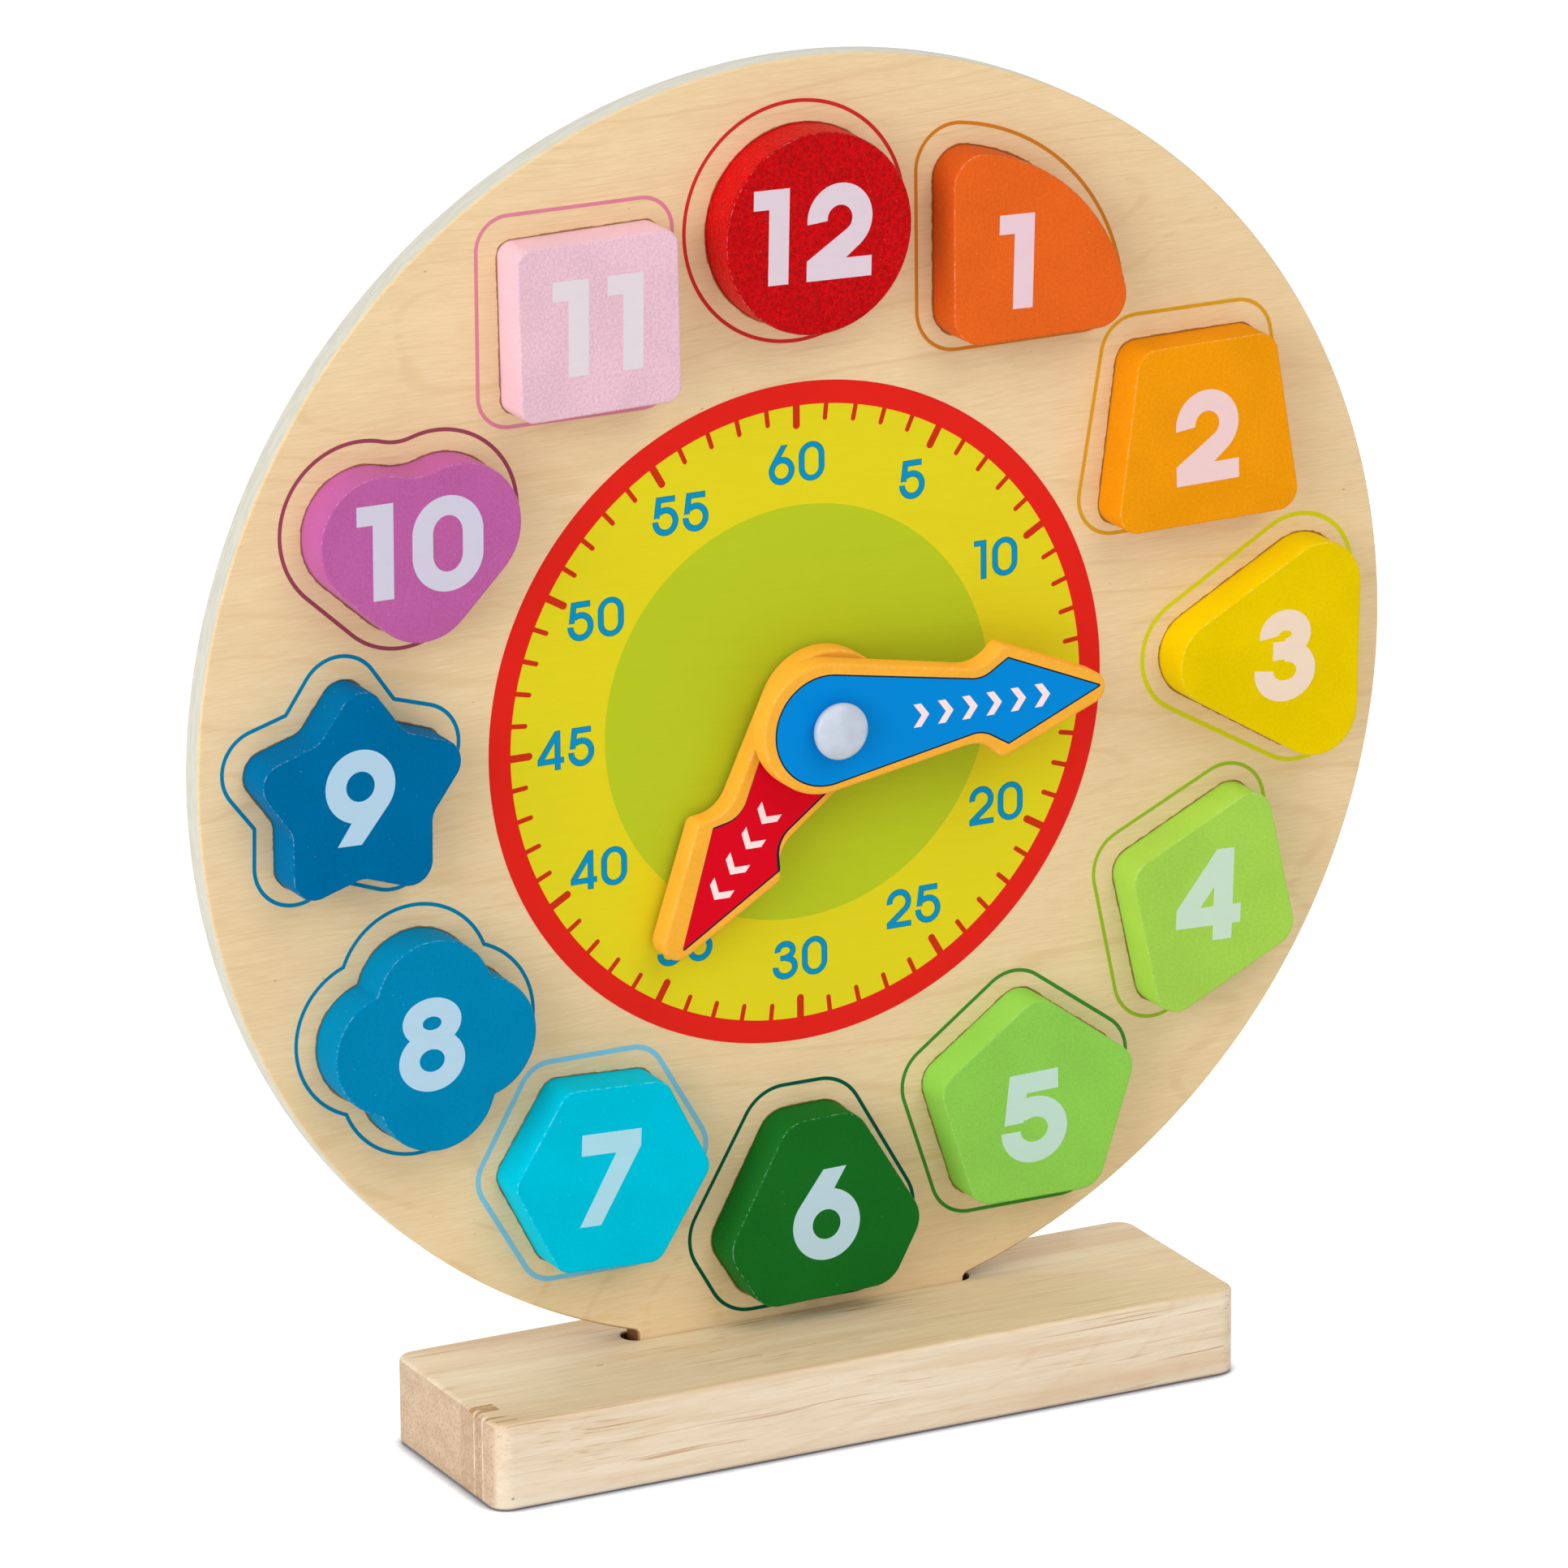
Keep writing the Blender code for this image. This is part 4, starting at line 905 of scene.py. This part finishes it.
# Number blocks: each a thick wooden shape dipped in its own satin paint, with softly sanded edges. The red one's
# paint is coarsely pebbled, and the others are nearly smooth. A bold white number is printed on each front.
BLOCK_FRONT = 9.9
BLOCK_ARRIS = 0.5
NUMBER_INK = 0.04
BOLD_HEIGHT = 21.2
BOLD_STROKE = 4.85
BOLD_GAP = 4.4
BOLD_WIDTHS = {"0": 16.7, "1": 8.6, "2": 15.7, "3": 15.5, "4": 16.4, "5": 16.6, "6": 16.6, "7": 14.4, "8": 15.7,
               "9": 16.4}
PAINT_SHIFT = 0.13
WHITE = (1.0, 1.0, 1.0, 1.0)

pebbled_paint, enter, leave = new_group(
    "pebbled_paint",
    dict(Vector="Vector", Colour="Color", Pebbles="Float", Grit="Float", Wear="Float", Sides="Float"),
    dict(Color="Color", Roughness="Float", Height="Float"))
spot = enter["Vector"]
pebble = noise(spot, enter["Grit"])
fine_skin = noise(spot, 2600.0, 1.0)
cloud = ramp(noise(spot, 60.0), 0.3, 0.7)
smoother = calc("MULTIPLY_ADD", enter["Sides"], -0.6, 1.0, clamp=True)
coarse = times(enter["Pebbles"], smoother)
# Painted shade and highlight: the pebbles' hollows are darkened and their crests lightened in the colour, strongest
# on the red block.
pebble_shading = times(calc("SUBTRACT", ramp(pebble, 0.36, 0.64), 0.6), coarse)
colour = enter["Colour"]
# Multiplied into the colour: the paint's faint clouds, painted light on the sides and painted shade and highlight on
# the pebbles.
for shade in (blend(cloud, (0.93, 0.93, 0.93, 1.0), WHITE), calc("MULTIPLY_ADD", enter["Sides"], 0.17, 1.0),
              calc("MULTIPLY_ADD", pebble_shading, 0.32, 1.0)):
    colour = blend(1.0, colour, shade, "MULTIPLY")
# Rubbed edges: the arrises turn pale in patches, partly thin paint and partly a painted highlight where the rounded
# edges catch the light.
worn_and_highlight = times(ramp(enter["Wear"], 0.75, 1.0), ramp(noise(spot, 1000.0, 2.0, 0.7), 0.46, 0.62))
dust = ramp(noise(spot, 1700.0, 0.0, location=(0.3, 0.7, 0.2)), 0.81, 0.86)
dusty = times(dust, calc("MINIMUM", times(enter["Pebbles"], 0.5), 0.1))
join(blend(dusty, blend(times(worn_and_highlight, 0.15), colour, WHITE), WHITE), leave["Color"])
join(calc("MULTIPLY_ADD", fine_skin, 0.14, 0.34), leave["Roughness"])
join(calc("ADD", times(pebble, coarse), times(fine_skin, 0.12)), leave["Height"])


def paint_finish(name, colour, pebbles, shift, gloss=0.02, relief=0.0004, grit=1450.0, lighter=1.0):
    """Satin paint on sanded wood: faint clouds in the colour, pebbled skin with painted shade in its hollows and
    painted highlights on its crests, edges rubbed pale, partly thin paint and partly a painted highlight, and some
    dust. The sawn sides, which were not printed over, are smoother than the front, and painted light makes them
    mostly a little lighter; where lighter is below 0, painted shade darkens them instead."""
    made, shader, where = new_material(name, Specular_IOR_Level=gloss, Specular_Tint=colour)
    painted = use_group(pebbled_paint, scaled(where["Object"], 1.0, (shift, 0.0, shift)), Colour=colour,
                        Pebbles=pebbles, Grit=grit, Wear=arris_of(shader),
                        Sides=times(side_on(where, 0.2, 0.8), lighter))
    join(painted["Roughness"], shader.inputs["Roughness"])
    coat(shader, painted["Color"], painted["Height"], relief, 0.8)
    return made


# Each block's paint slot, paint, pebbles, its number's centre and clockwise tilt, and the number's tint
BLOCKS = [
    ("orange_paint", (229, 100, 32), 0.28, (48.8, 98.1), 1.7, (231, 199, 209)),
    ("golden_paint", (238, 151, 14), 0.2, (96.5, 52.4), -1.1, (237, 203, 201)),
    ("yellow_paint", (230, 199, 2), 0.15, (116.55, -0.95), 0.5, (238, 214, 192)),
    ("lime_paint", (163, 209, 80), 0.2, (97.5, -54.1), 2.0, (198, 221, 199)),
    ("leaf_paint", (141, 204, 81), 0.2, (53.1, -99.0), -1.5, (190, 220, 204)),
    ("forest_paint", (25, 105, 34), 0.2, (1.0, -113.05), -1.2, (183, 210, 219)),
    ("cyan_paint", (0, 191, 219), 0.1, (-51.8, -95.6), 2.3, (169, 217, 233)),
    ("sky_paint", (2, 130, 176), 0.2, (-94.25, -57.95), 0.8, (177, 209, 229)),
    ("blue_paint", (0, 104, 155), 0.2, (-110.1, 0.3), 1.5, (174, 205, 226)),
    ("orchid_paint", (184, 93, 157), 0.3, (-94.95, 53.75), 0.4, (204, 200, 217)),
    ("pink_paint", (230, 189, 203), 0.4, (-52.25, 96.9), 0.8, (222, 211, 217)),
    ("red_paint", (211, 8, 14), 1.0, (-0.75, 110.6), 1.5, (219, 202, 213)),
]
# Each paint's skin where it differs: its gloss, the relief and fineness of its pebbles, and how strongly painted
# light brightens its sides, where a value below 0 darkens them with painted shade
PLAIN_SKIN = dict(gloss=0.008)
OWN_SKIN = {"red_paint": dict(gloss=0.18, relief=0.0024, grit=1050.0, lighter=0.8),
            "pink_paint": dict(gloss=0.3, relief=0.0006), "orchid_paint": dict(gloss=0.15, relief=0.0005),
            "orange_paint": dict(gloss=0.02, relief=0.0005, lighter=-0.5),
            "golden_paint": dict(gloss=0.008, lighter=0.2)}
block_rings = rounded_side(BLOCK_FRONT, -PANEL_THICKNESS, BLOCK_ARRIS, BLOCK_ARRIS)
for index, ((node_name, outline), row) in enumerate(zip(block_outlines.items(), BLOCKS)):
    slot, colour, pebbles, centre, tilt, tint = row
    body = node_name[:len("block_00")]
    paint = paint_finish(slot, tone(*colour), pebbles, PAINT_SHIFT * index, **OWN_SKIN.get(slot, PLAIN_SKIN))
    make_piece(body + "_painted", plate(outline, block_rings), on_face, paint, body, [node_name])
    number = written(str(index + 1), BOLD_WIDTHS, BOLD_HEIGHT, BOLD_STROKE, BOLD_GAP, centre, tilt)
    print_ink(body + "_number", number, NUMBER_INK, ink_finish(body + "_number_ink", tone(*tint), 0.5, 0.25),
              under=BLOCK_FRONT, body=body)


# Hands: arrows cut from 6 mm wood and painted amber, with rounded edges. Each carries a printed arrow, red on
# the hour hand and blue on the minute hand, with a row of plain chevrons that point to the tip.
HAND_THICKNESS = 6.2
HAND_ARRIS = 0.7
HUB_RADIUS = 14.8
NECK_HALF = 8.7
NECK_RADIUS = 8.4
BARB_HALF = 12.6
BARB_RADIUS = 1.9
BARB_SLOPE = 46.2
TIP_RADIUS = 3.8
ARROW_HUB = 12.3
ARROW_NECK_HALF = 6.05
ARROW_NECK_RADIUS = 7.1
ARROW_WINDOW = 4.2
ARROW_EDGE = 0.35
ARROW_INKS = (0.025, 0.04, 0.055)
CHEVRON_STROKE = 1.5
CHEVRON_LIFT = 0.75


def arrow(hub_radius, neck, barb, tip):
    """Pulleys of an arrow that points up, from those of its right half."""
    left = [(-across, up, radius) for across, up, radius in (barb, neck)]
    return [(0.0, 0.0, hub_radius), neck, barb, tip, *left]


def hand_outline(length, barb_distance):
    """An arrow pointing up from its hub. Each neck hollow lies where the barb's sloping back runs on into it."""
    slope = math.radians(BARB_SLOPE)
    neck_out = NECK_HALF + NECK_RADIUS
    barb_out = BARB_HALF - BARB_RADIUS
    reach = NECK_RADIUS + BARB_RADIUS - (neck_out - barb_out) * math.cos(slope)
    neck_up = barb_distance - reach / math.sin(slope)
    return arrow(HUB_RADIUS, (neck_out, neck_up, -NECK_RADIUS), (barb_out, barb_distance, BARB_RADIUS),
                 (0.0, length - TIP_RADIUS, TIP_RADIUS))


def printed_outline(neck_up, barb_up, barb_half, tip_up):
    """The printed arrow: a round hub, necks that draw in to 6 mm each side, and sharp barbs and tip."""
    neck = (ARROW_NECK_HALF + ARROW_NECK_RADIUS, neck_up, -ARROW_NECK_RADIUS)
    return arrow(ARROW_HUB, neck, (barb_half, barb_up, 0.0), (0.0, tip_up, 0.0))


def chevron(up, half_width):
    """A V of even stroke that points along the hand, with its point at up."""
    rise = half_width * CHEVRON_LIFT
    thick = CHEVRON_STROKE * math.hypot(1.0, CHEVRON_LIFT)
    return np.array([(0.0, up), (-half_width, up - rise), (-half_width, up - rise - thick), (0.0, up - thick),
                     (half_width, up - rise - thick), (half_width, up - rise)])


amber_paint = paint_finish("amber_paint", tone(248, 176, 58), 0.15, 0.9)
dark_edge_ink = ink_finish("dark_edge_ink", tone(28, 34, 60), 0.5, 0.0)
pale_mark_ink = ink_finish("pale_mark_ink", tone(250, 224, 224), 0.5, 0.0)


def add_hand(body, length, barb_distance, bore_aside, bore_along, front, clockwise, printed, place, leaning, slip,
             arrow_ink, chevrons, half_width):
    """One hand, drawn pointing up, drilled aside from its hub's middle and then turned clockwise about the pivot.
    The arrow printed on it has a place and a lean of its own, and the dark ink under it has slipped a little."""
    outline = moved(moved(hand_outline(length, barb_distance), -bore_aside, -bore_along), *PIVOT, -clockwise)
    rings = rounded_side(front, front - HAND_THICKNESS, HAND_ARRIS, HAND_ARRIS)
    make_piece(body + "_painted", plate(outline, rings, [bore_wall(front, front - HAND_THICKNESS)]), on_face,
               amber_paint, body, [body])
    inlay = moved(printed_outline(*printed), *place, -leaning)
    window = [circle(ARROW_WINDOW, *PIVOT)]
    marks = [turned(chevron(up, half_width), leaning, place) for up in chevrons]
    layers = (("_arrow_edge", [belt(moved(inlay, *slip), ARROW_EDGE)], dark_edge_ink, window),
              ("_arrow", [belt(inlay)], arrow_ink, window), ("_chevrons", marks, pale_mark_ink, ()))
    for height, (label, solids, ink, holes) in zip(ARROW_INKS, layers):
        print_ink(body + label, solids, height, ink, holes, front, body)


red_arrow_ink = ink_finish("red_arrow_ink", tone(216, 6, 30), 0.45, 0.1)
blue_arrow_ink = ink_finish("blue_arrow_ink", tone(0, 133, 212), 0.45, 0.1)
add_hand("hour_hand", 63.5, 36.2, 1.7, 2.0, 7.5, 218.5, (24.55, 31.54, 9.82, 57.1), (1.95, -1.35), 217.0,
         (0.3, 0.1), red_arrow_ink, (24.8, 31.3, 37.8, 44.3), 3.0)
add_hand("minute_hand", 69.4, 44.4, 0.1, 2.5, 15.0, 90.3, (36.8, 44.65, 9.62, 67.2), (-0.62, 0.34), 89.6,
         (0.0, 0.0), blue_arrow_ink, (25.0, 31.0, 37.0, 43.0, 49.0, 55.0), 2.65)


# Rivet, washers and cap: moulded from milky white plastic. The rivet's low dome bulges over its foot, its shaft
# runs through both hands and both panels, and a cap is pressed on it behind.
HEAD_RADIUS = 6.4
HEAD_FOOT = 5.2
CROWN_HEIGHT = 2.4
FOOT_HEIGHT = 2.4
HEAD_SEAT = 15.3
SHAFT_RADIUS = 3.0
CAP_SEAT = -6.7
CAP_RADIUS = 6.5
CAP_HEIGHT = 3.4
CAP_FLOOR = 1.2
TURNED_POINTS = 96
WASHER_RADIUS = 8.0
WASHER_THICKNESS = 0.7
WASHER_ARRIS = 0.15
WASHER_FRONTS = {"washer_under_hour_hand": 1.0, "washer_between_hands": 8.5}


def turned_skin(*profile):
    """A surface of revolution about the pivot's axis: the point at angle a is (r cos a, r sin a, out) for each
    (r, out) of the profile, which runs from the front to the rear on the outside."""
    line = np.concatenate(profile)
    ring = unit(np.linspace(0.0, 2.0 * math.pi, TURNED_POINTS, endpoint=False))
    return joined_rings(np.array([at_depth(np.array(PIVOT) + max(radius, 0.0) * ring, out) for radius, out in line]))


def plastic_finish(name, colour, roughness):
    """Milky moulded plastic: light sinks in a little, and the skin has faint flow marks."""
    made, shader, where = new_material(name, Roughness=roughness, Specular_IOR_Level=0.5, Subsurface_Weight=0.35,
                                       Subsurface_Scale=0.002, Subsurface_Radius=(1.0, 0.8, 0.7))
    flow = noise(where["Object"], 260.0)
    coat(shader, blend(ramp(flow, 0.3, 0.7), colour, tone(197, 206, 218)), flow, 0.00008, 0.15)
    return made


def mould(name, skins, plastic, node):
    make_piece(name + "_moulded", skins, on_face, plastic, "clock_board", [node])


milky_plastic = plastic_finish("milky_plastic", tone(186, 196, 209), 0.22)
rising = np.linspace(math.pi / 2.0, 0.0, 15)
equator = HEAD_SEAT + FOOT_HEIGHT
crown = np.column_stack([HEAD_RADIUS * np.cos(rising), equator + CROWN_HEIGHT * np.sin(rising)])
foot_turn = math.acos(HEAD_FOOT / HEAD_RADIUS)
falling = np.linspace(0.0, foot_turn, 8)[1:]
foot = np.column_stack([HEAD_RADIUS * np.cos(falling), equator - FOOT_HEIGHT * np.sin(falling) / math.sin(foot_turn)])
cap_floor = CAP_SEAT - CAP_HEIGHT + CAP_FLOOR
shaft = [(SHAFT_RADIUS, HEAD_SEAT), (SHAFT_RADIUS, cap_floor + GLUE_GAP), (0.0, cap_floor + GLUE_GAP)]
mould("rivet", [turned_skin(crown, foot, shaft)], milky_plastic, "pivot_rivet")
cap_bore = [(0.0, cap_floor), (BORE_RADIUS, cap_floor), (BORE_RADIUS, CAP_SEAT), (CAP_RADIUS, CAP_SEAT)]
bend = np.linspace(0.0, math.pi / 2.0, 10)
cap_dome = np.column_stack([CAP_RADIUS * np.cos(bend), CAP_SEAT - CAP_HEIGHT / 2.0 * (1.0 + np.sin(bend))])
mould("cap", [turned_skin(cap_bore, cap_dome)], milky_plastic, "rear_cap")
washer_plastic = plastic_finish("washer_plastic", tone(216, 220, 226), 0.4)
for washer, front in WASHER_FRONTS.items():
    rear = front - WASHER_THICKNESS
    rings = rounded_side(front, rear, WASHER_ARRIS, WASHER_ARRIS)
    mould(washer, plate([(*PIVOT, WASHER_RADIUS)], rings, [bore_wall(front, rear)]), washer_plastic, washer)


# Floor and light: a plain white floor and surround with a painted contact shadow close to what stands on it, a
# broad soft lamp at the left as seen from the front, a weaker one high in front, one behind for the back, and even
# light from all round.
FLOOR_REACH = 6.0
FLOOR_DROP = 0.0001
NOOK_REACH = 0.0055
LAMP_AIM = (0.0, 0.0, 0.15)


def seen_directly(tree):
    """1 for the camera's own rays and for what glossy and clear surfaces show, and 0 for light that spreads."""
    rays = add_node(tree, "LightPath").outputs
    seen = calc("ADD", rays["Is Camera Ray"], rays["Is Glossy Ray"], clamp=True)
    return calc("ADD", seen, rays["Is Transmission Ray"], clamp=True)


def emptied(holder):
    holder.use_nodes = True
    holder.node_tree.nodes.clear()
    return holder.node_tree


floor_mesh = bpy.data.meshes.new("floor")
floor_mesh.from_pydata([(x * FLOOR_REACH, y * FLOOR_REACH, -FLOOR_DROP)
                        for x, y in ((-1, -1), (1, -1), (1, 1), (-1, 1))], [], [(0, 1, 2, 3)])
floor = add_object("floor", floor_mesh)
floor_paper = bpy.data.materials.new("floor_paper")
tree = emptied(floor_paper)
# Painted contact shadow: ambient occlusion turns the floor bluish grey and dims its glow close to what stands on it.
open_floor = ramp(add_node(tree, "AmbientOcclusion", {"Distance": NOOK_REACH}, samples=8).outputs["AO"], 0.38, 0.86)
paper = blend(open_floor, tone(152, 156, 172), tone(240, 240, 240))
matt = add_node(tree, "BsdfDiffuse", {"Color": paper}).outputs[0]
lift = times(calc("MULTIPLY_ADD", open_floor, 0.48, 0.02), seen_directly(tree))
glow = add_node(tree, "Emission", {"Color": (0.97, 0.985, 1.0, 1.0), "Strength": lift}).outputs[0]
both = add_node(tree, "AddShader", {0: matt, 1: glow}).outputs[0]
add_node(tree, "OutputMaterial", {"Surface": both})
floor_mesh.materials.append(floor_paper)

world = bpy.data.worlds.new("white_room")
bpy.context.scene.world = world
tree = emptied(world)
strength = calc("MULTIPLY_ADD", seen_directly(tree), 0.45, 0.55)
around = add_node(tree, "Background", {"Color": WHITE, "Strength": strength}).outputs[0]
add_node(tree, "OutputWorld", {"Surface": around})

# Each lamp's name, place, size in metres and power in watts
LAMPS = [
    ("left_key", (-2.33, -0.93, 0.84), 2.0, 41.0),
    ("high_fill", (0.5, -1.35, 1.78), 1.5, 15.0),
    ("rear_fill", (0.6, 2.0, 1.4), 1.5, 7.0),
]
for name, place, size, power in LAMPS:
    lamp_data = bpy.data.lights.new(name, "AREA")
    lamp_data.size = size
    lamp_data.energy = power
    point_at(add_object(name, lamp_data), place, LAMP_AIM)
